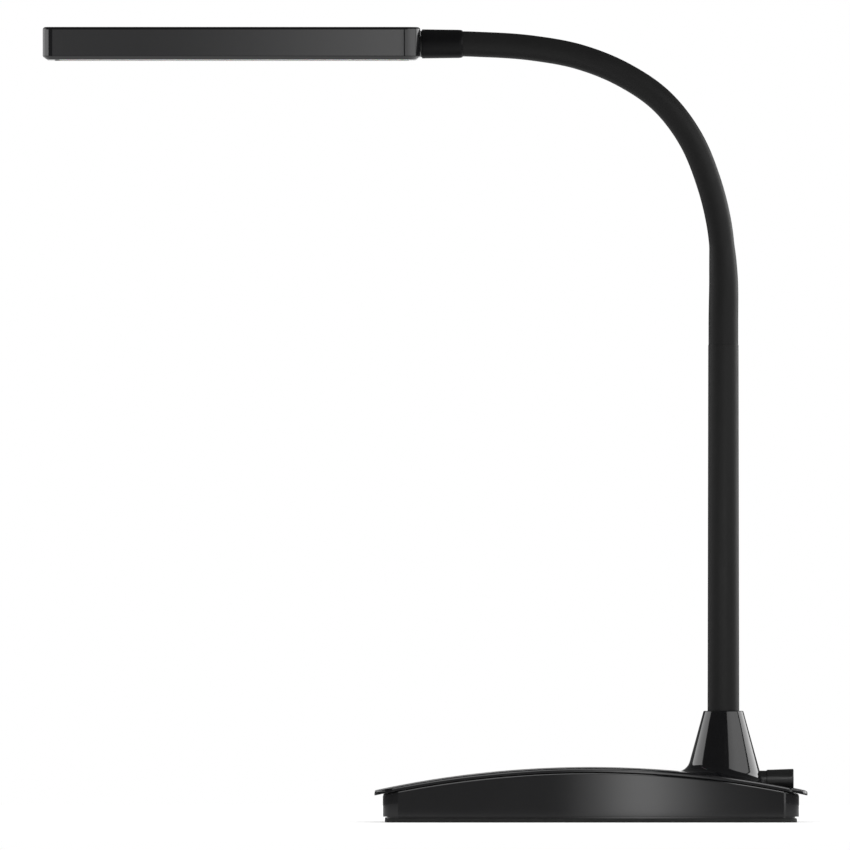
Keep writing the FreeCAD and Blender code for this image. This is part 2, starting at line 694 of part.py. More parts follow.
def inlet_pin():
    """Centre contact, standing on the socket's back wall and thinner where it passes through."""
    back = SOCKET_LENGTH - SOCKET_DEPTH
    tip = SOCKET_LENGTH - PIN_SET_BACK
    nose = PIN_RADIUS * 0.4
    return moved(turned_steps([
        (0, -PIN_TAIL), (PIN_TAIL_RADIUS, -PIN_TAIL), (PIN_TAIL_RADIUS, back), (PIN_RADIUS, back),
        (PIN_RADIUS, tip - nose), (PIN_RADIUS - nose, tip), (0, tip),
    ]), socket_frame())


def inlet_contact():
    """Thin sprung sleeve on the socket's wall, split along one side."""
    back = SOCKET_LENGTH - SOCKET_DEPTH
    outer = Part.makeCylinder(SOCKET_BORE_RADIUS, CONTACT_LENGTH, V(0, 0, back))
    inner = Part.makeCylinder(SOCKET_BORE_RADIUS - CONTACT_WALL, CONTACT_LENGTH, V(0, 0, back))
    half = CONTACT_SPLIT / 2
    split = box(0, SOCKET_BORE_RADIUS + 1, -half, half, 0, SOCKET_LENGTH)
    return moved(outer.cut(inner).cut(split), socket_frame())


def inlet_lead():
    """Power lead from the socket's tail round the stem to the board."""
    seat_x = inlet_end_x - SOCKET_LENGTH - SOCKET_SET_BACK
    clear = STEM_FOOT_RADIUS + LEAD_ROUND_STEM
    z = lead_entry_z()
    return lead([
        V(seat_x - PIN_TAIL, 0, INLET_Z), V(stem_x + clear, 0, INLET_Z),
        V(stem_x + 1, -clear, (INLET_Z + z) / 2), V(stem_x - LEAD_TURN_TO_SOCKET, -LEAD_SOCKET_SPACING, z),
        V(lamp_socket_x(), -LEAD_SOCKET_SPACING, z)], THIN_LEAD_RADIUS, THIN_LEAD_BEND)


# Neck
def neck_angle(s):
    """Direction of the neck's line in the X-Z plane, in degrees from +X, at a length from the seam."""
    angle = 90.0
    for turn, length in neck_stretches:
        angle += turn * min(max(s / length, 0.0), 1.0)
        s -= length
    return angle


def neck_direction(i):
    """Direction of link i, which link 0 gives at the seam and the last link at the collar."""
    a = math.radians(neck_angle(i * link_length))
    return V(math.cos(a), 0, math.sin(a))


def hinge_points():
    """Middles of the neck's hinges: the first lies half a link above the seam."""
    points = [V(stem_x, 0, STEM_TOP_Z) + neck_direction(0) * (link_length / 2)]
    for i in range(1, NECK_HINGES):
        points.append(points[-1] + neck_direction(i) * link_length)
    return points


def sleeve_radius(s):
    """Outer radius of the sleeve, which swells into a boot towards the seam."""
    u = min(s / BOOT_LENGTH, 1.0)
    return SLEEVE_RADIUS + (BOOT_RADIUS - SLEEVE_RADIUS) * (1 - u ** BOOT_POWER)


def hinge_radius(i):
    return sleeve_radius((i + 0.5) * link_length)


def along_neck(shape, start, direction):
    return moved(shape, FreeCAD.Placement(start, FreeCAD.Rotation(V(0, 0, 1), direction)))


def sleeve_section(length, bottom_r, top_r, socket_r=None, ball=True):
    """A stretch of sleeve with a hollow round the hinge below it and a ball round the one above it."""
    bottom_z = SOCKET_RIM if socket_r else 0.0
    edges = []
    if socket_r:
        rim_r = sphere_height(socket_r, SOCKET_RIM)
        edges.append(sphere_arc(0, socket_r, CORE_RADIUS, rim_r))
        edges.append(segment(rim_r, bottom_z, bottom_r, bottom_z))
        inner_bottom_z = sphere_height(socket_r, CORE_RADIUS)
    else:
        edges.append(segment(CORE_RADIUS, 0, bottom_r, 0))
        inner_bottom_z = 0.0
    edges.append(segment(bottom_r, bottom_z, top_r, length))
    if ball:
        edges.append(sphere_arc(length, top_r, top_r, CORE_RADIUS))
        inner_top_z = length + sphere_height(top_r, CORE_RADIUS)
    else:
        edges.append(segment(top_r, length, CORE_RADIUS, length))
        inner_top_z = length
    edges.append(segment(CORE_RADIUS, inner_top_z, CORE_RADIUS, inner_bottom_z))
    return turned(edges)


def core_section(length, socket_r, ball_r):
    """A stretch of the steel coil inside the sleeve, with the same hollow and ball as the sleeve."""
    bottom_z = sphere_height(socket_r, CORE_RADIUS)
    top_z = length + sphere_height(ball_r, CORE_RADIUS)
    edges = [sphere_arc(0, socket_r, CORE_BORE, CORE_RADIUS)]
    at_z = bottom_z
    half = CORE_GROOVE_DEPTH
    middle_z = (bottom_z + top_z) / 2
    for i in range(CORE_GROOVES):
        z = middle_z + (i - (CORE_GROOVES - 1) / 2) * CORE_GROOVE_PITCH
        edges.append(segment(CORE_RADIUS, at_z, CORE_RADIUS, z - half))
        edges.append(segment(CORE_RADIUS, z - half, CORE_RADIUS - CORE_GROOVE_DEPTH, z))
        edges.append(segment(CORE_RADIUS - CORE_GROOVE_DEPTH, z, CORE_RADIUS, z + half))
        at_z = z + half
    edges.append(segment(CORE_RADIUS, at_z, CORE_RADIUS, top_z))
    edges.append(sphere_arc(length, ball_r, CORE_RADIUS, CORE_BORE))
    edges.append(segment(CORE_BORE, length + sphere_height(ball_r, CORE_BORE),
                         CORE_BORE, sphere_height(socket_r, CORE_BORE)))
    return turned(edges)


def neck_root_ferrule():
    """Turned plug in the stem's top, with a stub of the core's size and the first ball on it."""
    plug_r = STEM_TOP_RADIUS - STEM_WALL - FERRULE_GAP
    ball_r = hinge_radius(0)
    half = link_length / 2
    edges = [
        segment(CORE_BORE, -FERRULE_LENGTH, plug_r, -FERRULE_LENGTH),
        segment(plug_r, -FERRULE_LENGTH, plug_r, 0),
        segment(plug_r, 0, CORE_RADIUS, 0),
        segment(CORE_RADIUS, 0, CORE_RADIUS, half + sphere_height(ball_r, CORE_RADIUS)),
        sphere_arc(half, ball_r, CORE_RADIUS, CORE_BORE),
        segment(CORE_BORE, half + sphere_height(ball_r, CORE_BORE), CORE_BORE, -FERRULE_LENGTH),
    ]
    return along_neck(turned(edges), V(stem_x, 0, STEM_TOP_Z), neck_direction(0))


def neck_root_boot():
    boot = sleeve_section(link_length / 2, sleeve_radius(0), hinge_radius(0))
    return along_neck(boot, V(stem_x, 0, STEM_TOP_Z), neck_direction(0))


def neck_links():
    """The sleeve and core of each link between two hinges."""
    made = {}
    points = hinge_points()
    for i in range(1, NECK_HINGES):
        socket_r = hinge_radius(i - 1) + HINGE_GAP
        ball_r = hinge_radius(i)
        sleeve = sleeve_section(link_length, hinge_radius(i - 1), ball_r, socket_r)
        core = core_section(link_length, socket_r, ball_r)
        made["neck_sleeve_%02d" % i] = along_neck(sleeve, points[i - 1], neck_direction(i))
        made["neck_core_%02d" % i] = along_neck(core, points[i - 1], neck_direction(i))
    return made


# Collar and swivel, drawn along Z from the last hinge
def at_last_hinge(shape):
    return along_neck(shape, hinge_points()[-1], neck_direction(NECK_HINGES))


collar_z = link_length / 2
collar_end_z = collar_z + COLLAR_LENGTH
head_z = collar_end_z + SPACER_THICKNESS


def neck_end_sleeve():
    socket_r = hinge_radius(NECK_HINGES - 1) + HINGE_GAP
    length = collar_z + SLEEVE_IN_COLLAR
    return at_last_hinge(sleeve_section(length, SLEEVE_RADIUS, SLEEVE_RADIUS, socket_r, ball=False))


def neck_end_ferrule():
    """Turned fitting on the core's end, as thick as the sleeve inside the collar."""
    socket_r = hinge_radius(NECK_HINGES - 1) + HINGE_GAP
    step_z = collar_z + SLEEVE_IN_COLLAR
    edges = [
        sphere_arc(0, socket_r, CORE_BORE, CORE_RADIUS),
        segment(CORE_RADIUS, sphere_height(socket_r, CORE_RADIUS), CORE_RADIUS, step_z),
        segment(CORE_RADIUS, step_z, SLEEVE_RADIUS, step_z),
        segment(SLEEVE_RADIUS, step_z, SLEEVE_RADIUS, collar_end_z - COLLAR_FLOOR),
        segment(SLEEVE_RADIUS, collar_end_z - COLLAR_FLOOR, SPIGOT_RADIUS, collar_end_z - COLLAR_FLOOR),
        segment(SPIGOT_RADIUS, collar_end_z - COLLAR_FLOOR, SPIGOT_RADIUS, step_z + COLLAR_FLOOR),
        segment(SPIGOT_RADIUS, step_z + COLLAR_FLOOR, CORE_BORE, step_z + COLLAR_FLOOR),
        segment(CORE_BORE, step_z + COLLAR_FLOOR, CORE_BORE, sphere_height(socket_r, CORE_BORE)),
    ]
    return at_last_hinge(turned(edges))


def neck_collar():
    """Matte sleeve nut over the joint, chamfered down to the neck's sleeve."""
    bore = SLEEVE_RADIUS + FERRULE_GAP
    mouth = bore + 2 * FERRULE_GAP
    return at_last_hinge(turned_steps([
        (bore, collar_z), (mouth, collar_z), (COLLAR_NECK_RADIUS, collar_z + COLLAR_CHAMFER_LENGTH),
        (COLLAR_HEAD_RADIUS, collar_end_z), (SPIGOT_RADIUS + FERRULE_GAP, collar_end_z),
        (SPIGOT_RADIUS + FERRULE_GAP, collar_end_z - COLLAR_FLOOR), (bore, collar_end_z - COLLAR_FLOOR),
    ]))


def swivel_spigot():
    """Hollow shaft screwed into the end fitting; it passes through the head's end wall."""
    start_z = collar_z + SLEEVE_IN_COLLAR + COLLAR_FLOOR
    end_z = head_z + SPIGOT_TAIL
    return at_last_hinge(turned_steps([
        (SPIGOT_BORE, start_z), (SPIGOT_RADIUS, start_z), (SPIGOT_RADIUS, end_z - SPIGOT_CHAMFER),
        (SPIGOT_RADIUS - SPIGOT_CHAMFER, end_z), (SPIGOT_BORE, end_z),
    ]))


def ring(inner, outer, z0, z1):
    return at_last_hinge(turned_steps([(inner, z0), (outer, z0), (outer, z1), (inner, z1)]))


def swivel_spacer():
    return ring(SPIGOT_RADIUS + PRESS_GAP, SPACER_RADIUS, collar_end_z, head_z - RUNNING_GAP)


def swivel_bush():
    """Flanged plastic bush in the head's end wall."""
    inner = SPIGOT_RADIUS + RUNNING_GAP
    flange_z = head_z + HEAD_END_WALL
    return at_last_hinge(turned_steps([
        (inner, head_z), (inner + BUSH_WALL, head_z), (inner + BUSH_WALL, flange_z),
        (BUSH_FLANGE_RADIUS, flange_z), (BUSH_FLANGE_RADIUS, flange_z + BUSH_FLANGE_THICKNESS),
        (inner, flange_z + BUSH_FLANGE_THICKNESS),
    ]))


def spring_washer_z():
    return head_z + HEAD_END_WALL + BUSH_FLANGE_THICKNESS + RUNNING_GAP


def swivel_spring_washer():
    z0 = spring_washer_z()
    return ring(SPIGOT_RADIUS + PRESS_GAP, SPRING_WASHER_RADIUS, z0, z0 + SPRING_WASHER_THICKNESS)


def swivel_nut():
    z0 = spring_washer_z() + SPRING_WASHER_THICKNESS
    corner = NUT_ACROSS_FLATS / math.sqrt(3)
    sixth = math.pi / 3
    corners = [V(corner * math.cos(i * sixth), corner * math.sin(i * sixth), z0) for i in range(7)]
    hexagon = Part.Face(Part.makePolygon(corners)).extrude(V(0, 0, NUT_THICKNESS))
    return at_last_hinge(hexagon.cut(post(0, 0, SPIGOT_RADIUS, z0, z0 + NUT_THICKNESS)))


# Head, drawn with X along its length from the end wall, Z up and its mid-height at zero
def head_frame():
    a = math.radians(neck_angle(neck_length))
    x = V(math.cos(a), 0, math.sin(a))
    z = V(math.sin(a), 0, -math.cos(a))
    origin = hinge_points()[-1] + x * head_z
    return FreeCAD.Placement(origin, FreeCAD.Rotation(x, z.cross(x), z, "XZY"))


def in_head(shape):
    return moved(shape, head_frame())


head_top = HEAD_THICKNESS / 2
head_bottom = -HEAD_THICKNESS / 2
seam = head_bottom + BEZEL_HEIGHT


def head_outline(inset, z):
    first = max(HEAD_NECK_CORNER - inset, HEAD_SMALLEST_CORNER)
    last = max(HEAD_TIP_CORNER - inset, HEAD_SMALLEST_CORNER)
    return outline(inset, HEAD_LENGTH - inset, HEAD_WIDTH / 2 - inset, first, last, z)


def head_slab(inset, z0, z1):
    return Part.Face(head_outline(inset, z0)).extrude(V(0, 0, z1 - z0))


def head_screw_places():
    x0 = LED_BOARD_START + HEAD_SCREW_INSET
    x1 = HEAD_LENGTH - LED_BOARD_END_GAP - HEAD_SCREW_INSET
    return [(x, 0.0) for x in (x0, (x0 + x1) / 2, x1)]


def head_housing():
    """Upper shell of the head, open below, with a thick end wall for the swivel."""
    solid = head_slab(0, seam, head_top)
    top = [e for e in solid.Edges if e.BoundBox.ZMin > head_top - 0.01]
    solid = solid.makeFillet(HEAD_TOP_ROUND, top)
    cavity = head_slab(HEAD_WALL, seam - 1, head_top - HEAD_ROOF)
    cavity = cavity.cut(box(-1, HEAD_END_WALL, -HEAD_WIDTH, HEAD_WIDTH, -HEAD_THICKNESS, HEAD_THICKNESS))
    solid = solid.cut(cavity)
    bosses = [post(x, y, HEAD_BOSS_RADIUS, spreader_top(), head_top - HEAD_ROOF / 2)
              for x, y in head_screw_places()]
    solid = fuse([solid] + bosses)
    pilots = [post(x, y, SCREW_RADIUS, spreader_top(), head_top - HEAD_ROOF) for x, y in head_screw_places()]
    bush_radius = SPIGOT_RADIUS + RUNNING_GAP + BUSH_WALL
    bush_hole = Part.makeCylinder(bush_radius, HEAD_END_WALL + 2, V(-1, 0, 0), V(1, 0, 0))
    return cut(solid, pilots + [bush_hole])


def board_bottom():
    return seam + BEZEL_LIP_RISE + LIGHT_GAP


def board_top():
    return board_bottom() + LED_BOARD_THICKNESS


def spreader_top():
    return board_top() + SPREADER_THICKNESS


def head_bezel():
    """Lower frame with a sloping edge, a lip inside the shell and a ledge for the diffuser."""
    sloping = Part.makeLoft([head_outline(BEZEL_SLOPE, head_bottom), head_outline(0, seam)], True, True)
    lip = head_slab(HEAD_WALL + BEZEL_GAP, seam, seam + BEZEL_LIP_RISE)
    inside = HEAD_WALL + BEZEL_GAP + BEZEL_LIP
    solid = sloping.fuse(lip).removeSplitter()
    ledge_z = head_bottom + WINDOW_LEDGE_THICKNESS
    window = head_slab(WINDOW_INSET, head_bottom - 1, ledge_z)
    seat = head_slab(WINDOW_INSET - WINDOW_LEDGE, ledge_z, seam + BEZEL_LIP_RISE + 1)
    above_lip = seam + BEZEL_LIP_RISE + 1
    clear_end = box(-1, HEAD_END_WALL + NUT_ROOM, -HEAD_WIDTH, HEAD_WIDTH, seam, above_lip)
    well = head_slab(inside, seam, above_lip)
    return cut(solid, [window, seat, clear_end, well])


def diffuser():
    """Opal sheet on the bezel's ledge, stepped down through its window."""
    ledge_z = head_bottom + WINDOW_LEDGE_THICKNESS
    plate = head_slab(WINDOW_INSET - WINDOW_LEDGE + BEZEL_GAP, ledge_z, ledge_z + DIFFUSER_THICKNESS)
    step = head_slab(WINDOW_INSET + BEZEL_GAP, head_bottom + DIFFUSER_SET_BACK, ledge_z)
    return plate.fuse(step).removeSplitter()


def reflector():
    """White tray round the lamps, whose walls lean out towards the diffuser."""
    z0 = head_bottom + WINDOW_LEDGE_THICKNESS + DIFFUSER_THICKNESS
    z1 = board_bottom()
    x0 = LED_BOARD_START + REFLECTOR_SET_IN
    x1 = HEAD_LENGTH - LED_BOARD_END_GAP - REFLECTOR_SET_IN
    w = LED_BOARD_WIDTH / 2 - REFLECTOR_SET_IN
    corner = REFLECTOR_CORNER

    def flared(grow):
        low = grow + REFLECTOR_LEAN
        wide = outline(x0 - low, x1 + low, w + low, corner, corner, z0)
        narrow = outline(x0 - grow, x1 + grow, w + grow, corner, corner, z1)
        return Part.makeLoft([wide, narrow], True, True)

    return flared(0).cut(flared(-REFLECTOR_WALL))


def led_board():
    w = LED_BOARD_WIDTH / 2
    x1 = HEAD_LENGTH - LED_BOARD_END_GAP
    board = box(LED_BOARD_START, x1, -w, w, board_bottom(), board_top())
    return cut(board, [post(x, y, SCREW_RADIUS + SCREW_HOLE_GAP, board_bottom(), board_top())
                       for x, y in head_screw_places()])


def led_chips():
    """Rows of surface-mounted lamps under the board."""
    x0 = LED_BOARD_START + LED_END_MARGIN
    pitch = (HEAD_LENGTH - LED_BOARD_END_GAP - LED_END_MARGIN - x0) / (LED_COLUMNS - 1)
    half_length = LED_LENGTH / 2
    half_width = LED_WIDTH / 2
    chips = []
    for row in range(LED_ROWS):
        y = (row - (LED_ROWS - 1) / 2) * LED_ROW_SPACING
        for column in range(LED_COLUMNS):
            x = x0 + column * pitch
            chips.append(box(x - half_length, x + half_length, y - half_width, y + half_width,
                             board_bottom() - LED_HEIGHT, board_bottom()))
    return Part.makeCompound(chips)


def heat_spreader():
    w = LED_BOARD_WIDTH / 2 + SPREADER_MARGIN
    plate = box(LED_BOARD_START, HEAD_LENGTH - LED_BOARD_END_GAP, -w, w, board_top(), spreader_top())
    return cut(plate, [post(x, y, SCREW_RADIUS + SCREW_HOLE_GAP, board_top(), spreader_top())
                       for x, y in head_screw_places()])


def head_screws():
    grip = head_top - HEAD_ROOF - board_bottom() - SCREW_TIP_GAP
    return screws_at(head_screw_places(), board_bottom(), grip, up=True)


def head_socket():
    half = HEAD_SOCKET_WIDTH / 2
    x0 = head_socket_x()
    z0 = spreader_top()
    return box(x0, x0 + HEAD_SOCKET_LENGTH, -half, half, z0, z0 + HEAD_SOCKET_HEIGHT)


def head_socket_x():
    return LED_BOARD_START + 1


def head_lead():
    """Short lead from the swivel's bore to the socket on the heat spreader."""
    z = spreader_top() + HEAD_SOCKET_HEIGHT / 2
    x0 = SPIGOT_TAIL + 1
    third = (head_socket_x() - x0) / 3
    return lead([V(x0, 0, 0), V(x0 + third, 0, 0), V(x0 + 2 * third, 0, z), V(head_socket_x(), 0, z)],
                HEAD_LEAD_RADIUS, HEAD_LEAD_BEND)


def nodes():
    base = [
        base_cover, base_tray, foot_mat, ballast_plate, ballast_screws, cover_screws,
        control_board, board_screws, board_parts, lead_sockets, touch_key, touch_column,
        inlet_body, inlet_pin, inlet_contact, inlet_lead,
        stem_tube, stem_flange, flange_screws, stem_lead, neck_root_ferrule, neck_root_boot,
    ]
    end = [neck_end_sleeve, neck_end_ferrule, neck_collar, swivel_spigot, swivel_spacer,
           swivel_spring_washer, swivel_nut, swivel_bush]
    head = [head_housing, head_bezel, diffuser, reflector, led_board, led_chips, heat_spreader,
            head_screws, head_socket, head_lead]
    made = {make.__name__: make() for make in base + end}
    made.update(neck_links())
    made.update({make.__name__: in_head(make()) for make in head})
    return made


os.makedirs("parts", exist_ok=True)
for name, shape in nodes().items():
    if not shape.isValid():
        print("not valid:", name)
    shape.exportStep("parts/" + name + ".step")
    print(name, "volume", round(shape.Volume, 1), "faces", len(shape.Faces))
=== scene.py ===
import json
import math

import bpy
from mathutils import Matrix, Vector

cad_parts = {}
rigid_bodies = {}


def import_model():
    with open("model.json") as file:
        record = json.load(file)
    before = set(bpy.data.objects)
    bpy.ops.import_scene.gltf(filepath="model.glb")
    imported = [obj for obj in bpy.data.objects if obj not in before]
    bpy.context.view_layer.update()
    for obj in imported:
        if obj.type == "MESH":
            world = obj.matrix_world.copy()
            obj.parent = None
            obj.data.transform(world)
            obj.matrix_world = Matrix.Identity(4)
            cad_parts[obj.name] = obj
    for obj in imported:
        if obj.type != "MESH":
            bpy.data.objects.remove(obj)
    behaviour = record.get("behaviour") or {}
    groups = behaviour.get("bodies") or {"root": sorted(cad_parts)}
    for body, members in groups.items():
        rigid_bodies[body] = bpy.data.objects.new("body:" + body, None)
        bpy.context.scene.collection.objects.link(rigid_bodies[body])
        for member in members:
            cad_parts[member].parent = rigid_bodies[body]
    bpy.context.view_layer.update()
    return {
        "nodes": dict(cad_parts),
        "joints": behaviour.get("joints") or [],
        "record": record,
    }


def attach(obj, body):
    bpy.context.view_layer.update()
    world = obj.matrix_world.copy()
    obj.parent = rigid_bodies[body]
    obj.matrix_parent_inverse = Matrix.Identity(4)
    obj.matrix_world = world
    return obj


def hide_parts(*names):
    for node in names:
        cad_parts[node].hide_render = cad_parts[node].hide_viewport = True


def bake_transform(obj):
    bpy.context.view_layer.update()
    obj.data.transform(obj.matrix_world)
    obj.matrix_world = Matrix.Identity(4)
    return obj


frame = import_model()

# Sizes are in millimetres, and MM turns them into Blender's metres
MM = 0.001

# Base
CROWN_RADIUS = 458.0
CROWN_TOP_Z = 24.6
CROWN_MIDDLE_Z = CROWN_TOP_Z - CROWN_RADIUS
# A corner of the lid's mesh is on the crown within this distance, where its face leans within this cosine
CROWN_NEAR = 0.02
CROWN_FACING = 0.995
LID_HALF_LENGTH = 97.85
LID_HALF_WIDTH = 50.0
LID_CORNER = 8.3
LID_SHEET = 1.8
LID_EDGE_ROUND = 0.45
LID_EDGE_DRAFT = 0.12
LID_EDGE_DRAFT_HEIGHT = 0.5
LID_EDGE_ARC_DEGREES = 78
LID_EDGE_BREAK = 0.15
TRAY_HALF_LENGTH = 94.05
TRAY_HALF_WIDTH = 49.0
TRAY_CORNER = 7.3
TRAY_WALL = 2.0
TRAY_BOTTOM_Z = 2.6
TRAY_FLOOR_Z = 4.6
TRAY_DROP = 2.1
TRAY_CHAMFER = 0.12
TRAY_RIM_DRAFT = 0.2
TRAY_RIM_HEIGHT = 1.0
TRAY_FOOT_ROUND = 0.12
TRAY_FOOT_ROUND_MIDDLE = 0.035
TRAY_UNDERSIDE_INSET = 4.0
MAT_TOP_Z = 1.8
MAT_INSET = 0.9
MAT_FOOT_BREAK = 0.2
# The mat's upper edge, as (further inset, drop below its top)
MAT_TOP_EDGE = ((0.0, 0.3), (0.1, 0.1), (0.3, 0.0))
PAD_INSET = 1.8

# How many steps the lid's skin takes down the cone, round its foot, over the crown, round the edge and below
CONE_TOP_STEPS = 5
CONE_SIDE_STEPS = 4
CONE_FOOT_STEPS = 10
CROWN_STEPS = 24
LID_EDGE_STEPS = 6
UNDERSIDE_STEPS = 8
# Rounds in which a height on the crown and the cone's radius there settle on each other
SETTLE_ROUNDS = 30

# Cone, stem and inlet barrel
STEM_X = 60.2
CONE_TOP_Z = 50.3
CONE_TOP_RADIUS = 9.0
CONE_SLOPE = math.radians(15.3)
CONE_FOOT_ROUND = 6.0
CONE_TOP_ROUND = 0.5
CONE_WALL = 2.2
CONE_CAP = 3.0
STEM_HOLE_RADIUS = 7.2
STEM_FOOT_RADIUS = 7.18
STEM_TOP_RADIUS = 6.88
STEM_WALL = 1.2
STEM_BOTTOM_Z = 12.3
STEM_TOP_Z = 216.1
STEM_TOP_ROUND = 0.25
STEM_TOP_ROUND_MIDDLE = 0.07
INLET_Z = 19.0
BARREL_START_X = 79.8
BARREL_END_X = 92.0
BARREL_START_RADIUS = 4.6
BARREL_END_RADIUS = 5.0
BARREL_NECK_RADIUS = 4.2
BARREL_BORE_RADIUS = 3.8
BARREL_BORE_DEPTH = 11.6
BARREL_TAIL = 12.0
BARREL_STEP_BREAK = 0.1
BARREL_START_BREAK = 0.15
BARREL_END_ROUND = 0.5
BARREL_BORE_BREAK = 0.2
# The barrel's solid ends close on a ring this far from its axis
BARREL_AXIS_RING = 0.5

# Touch key
KEY_X = -50.05
KEY_RADIUS = 7.9
KEY_GAP = 0.2
KEY_RIM = 0.3
KEY_DEPTH = 0.7
KEY_DISH = 0.35
KEY_FLOOR_GAP = 0.05
# Shares of the radius at which the key's underside and its dished top have a ring of points
KEY_UNDERSIDE_RINGS = (0.3, 0.65, 1.0)
KEY_TOP_RINGS = (0.9, 0.8, 0.65, 0.5, 0.35, 0.2, 0.08)
# The cutter that makes the key's recess stands this far above the crown
CUTTER_RISE = 2.0
CUTTER_RIM = 0.01

# Neck
SLEEVE_RADIUS = 5.72
BOOT_RADIUS = 6.75
BOOT_LENGTH = 45.0
BOOT_POWER = 3.8
CORE_RADIUS = 4.2
CORE_BORE = 2.2
SLEEVE_BORE = 4.3
SLEEVE_IN_COLLAR = 4.8
SLEEVE_STEPS = 14
COIL_STEPS = 56
# The coil's round wires show as shallow ridges: how deep its rings of points lie, in turn
COIL_RIDGES = (0.0, 0.16, 0.22, 0.16)
# Shares of the first and the last stretch at which the coil starts and ends
COIL_START = 0.8
COIL_END = 0.66
# How far the sleeve hangs below each hinge in the photograph
NECK_SAG = (0, 0, 0, 0, 0, 0.12, 0.26, 0.22, 0.34, 0.36)

# Collar, spacer and head
COLLAR_LENGTH = 18.5
COLLAR_CHAMFER = 1.8
COLLAR_NECK_RADIUS = 6.4
COLLAR_HEAD_RADIUS = 6.6
COLLAR_BORE_GAP = 0.05
COLLAR_MOUTH_GAP = 0.15
COLLAR_FLOOR = 2.0
COLLAR_END_ROUND = 0.35
COLLAR_END_ROUND_MIDDLE = 0.1
SPACER_THICKNESS = 0.65
SPACER_RADIUS = 6.0
SPIGOT_RADIUS = 3.62
SPIGOT_GAP = 0.03
HEAD_GAP = 0.05
HEAD_LENGTH = 170.9
HEAD_HALF_WIDTH = 20.0
HEAD_HALF_HEIGHT = 7.4
HEAD_NECK_CORNER = 7.5
HEAD_TIP_CORNER = 4.4
HEAD_TOP_ROUND = 1.2
HEAD_TOP_MARGIN = 1.2
HEAD_EDGE_BREAK = 0.1
HEAD_WALL = 1.6
HEAD_ROOF = 1.8
BEZEL_HEIGHT = 1.65
BEZEL_SLOPE = 2.3
BEZEL_LIP = 1.2
BEZEL_LIP_RISE = 2.4
BEZEL_LIP_GAP = 0.1
BEZEL_SEAM_GAP = 0.02
# The bezel's slope starts this far in and down, and its foot is rounded from before its end to past it
BEZEL_TOP_INSET = 0.06
BEZEL_TOP_DROP = 0.1
BEZEL_FOOT_BEFORE = 0.25
BEZEL_FOOT_RISE = 0.18
BEZEL_FOOT_PAST = 0.1
WINDOW_INSET = 5.4
WINDOW_EDGE_BREAK = 0.15
WINDOW_LEDGE = 0.8
WINDOW_REST = 1.2
DIFFUSER_THICKNESS = 1.6
DIFFUSER_GAP = 0.1
DIFFUSER_RECESS = 0.15
# The diffuser's lower edge, as (inset from the window's side, rise above its face)
DIFFUSER_EDGE = ((0.1, 0.15), (0.15, 0.05), (0.3, 0.0), (2.0, 0.0))

# Photograph: its scale and the point in its middle
MM_PER_PIXEL = 0.4531
PHOTO_PIXELS = 850
VIEW_X = -75.0
VIEW_Z = 179.8
CAMERA_DISTANCE = 16000.0
CAMERA_RISE = math.radians(-0.27)


def crown_z(x, drop=0.0):
    """Height of the lid's crown at x, or of the surface that lies deeper by drop."""
    return CROWN_MIDDLE_Z + math.sqrt((CROWN_RADIUS - drop) ** 2 - x * x)


# Meshes
def piece(name, points, faces, body, material, slot, sharp=35.0, blend=None):
    """A named mesh from points in millimetres, which rides on a body, or with blend stays unattached where it
    is drawn.
    """
    mesh = bpy.data.meshes.new(name)
    mesh.from_pydata([Vector(p) * MM for p in points], [], faces)
    mesh.validate()
    mesh.update()
    mesh.shade_smooth()
    mesh.set_sharp_from_angle(angle=math.radians(sharp))
    mesh.materials.append(material)
    made = bpy.data.objects.new(name, mesh)
    bpy.context.scene.collection.objects.link(made)
    even = made.modifiers.new("even_shading", "WEIGHTED_NORMAL")
    even.keep_sharp = True
    if blend:
        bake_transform(made)
    else:
        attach(made, body)
    return made


def skin(rings, ring_shaped=False):
    """Points and faces of a closed skin through rings of equal count.
    A ring-shaped one joins its last ring to its first; any other is capped at both ends."""
    count = len(rings[0])
    points = [p for ring in rings for p in ring]
    faces = []
    pairs = len(rings) if ring_shaped else len(rings) - 1
    for i in range(pairs):
        a = i * count
        b = (i + 1) % len(rings) * count
        for k in range(count):
            n = (k + 1) % count
            faces.append((a + k, a + n, b + n, b + k))
    if not ring_shaped:
        faces.append(tuple(reversed(range(count))))
        faces.append(tuple(range((len(rings) - 1) * count, len(rings) * count)))
    return points, faces


def flip(made):
    """The same skin with its faces turned outwards."""
    points, faces = made
    return points, [tuple(reversed(f)) for f in faces]


def arc(centre, radius, start_deg, end_deg, steps):
    """Points (across, up) on an arc in a section, ends included."""
    turn = [math.radians(start_deg + (end_deg - start_deg) * i / steps) for i in range(steps + 1)]
    return [(centre[0] + radius * math.cos(t), centre[1] + radius * math.sin(t)) for t in turn]


def axes_along(direction):
    """Two unit vectors square to a direction in the X-Z plane."""
    d = Vector(direction).normalized()
    side = Vector((0, 1, 0))
    return side, d.cross(side)


def ring_at(centre, direction, radius, count):
    """A round ring of points, square to a direction."""
    side, up = axes_along(direction)
    centre = Vector(centre)
    return [centre + (side * math.cos(t) + up * math.sin(t)) * radius
            for t in (2 * math.pi * k / count for k in range(count))]


def turned(section, start, direction, count=96):
    """Rings of a turned piece from its section of (radius, distance along the axis)."""
    d = Vector(direction).normalized()
    return [ring_at(Vector(start) + d * along, d, radius, count) for radius, along in section]


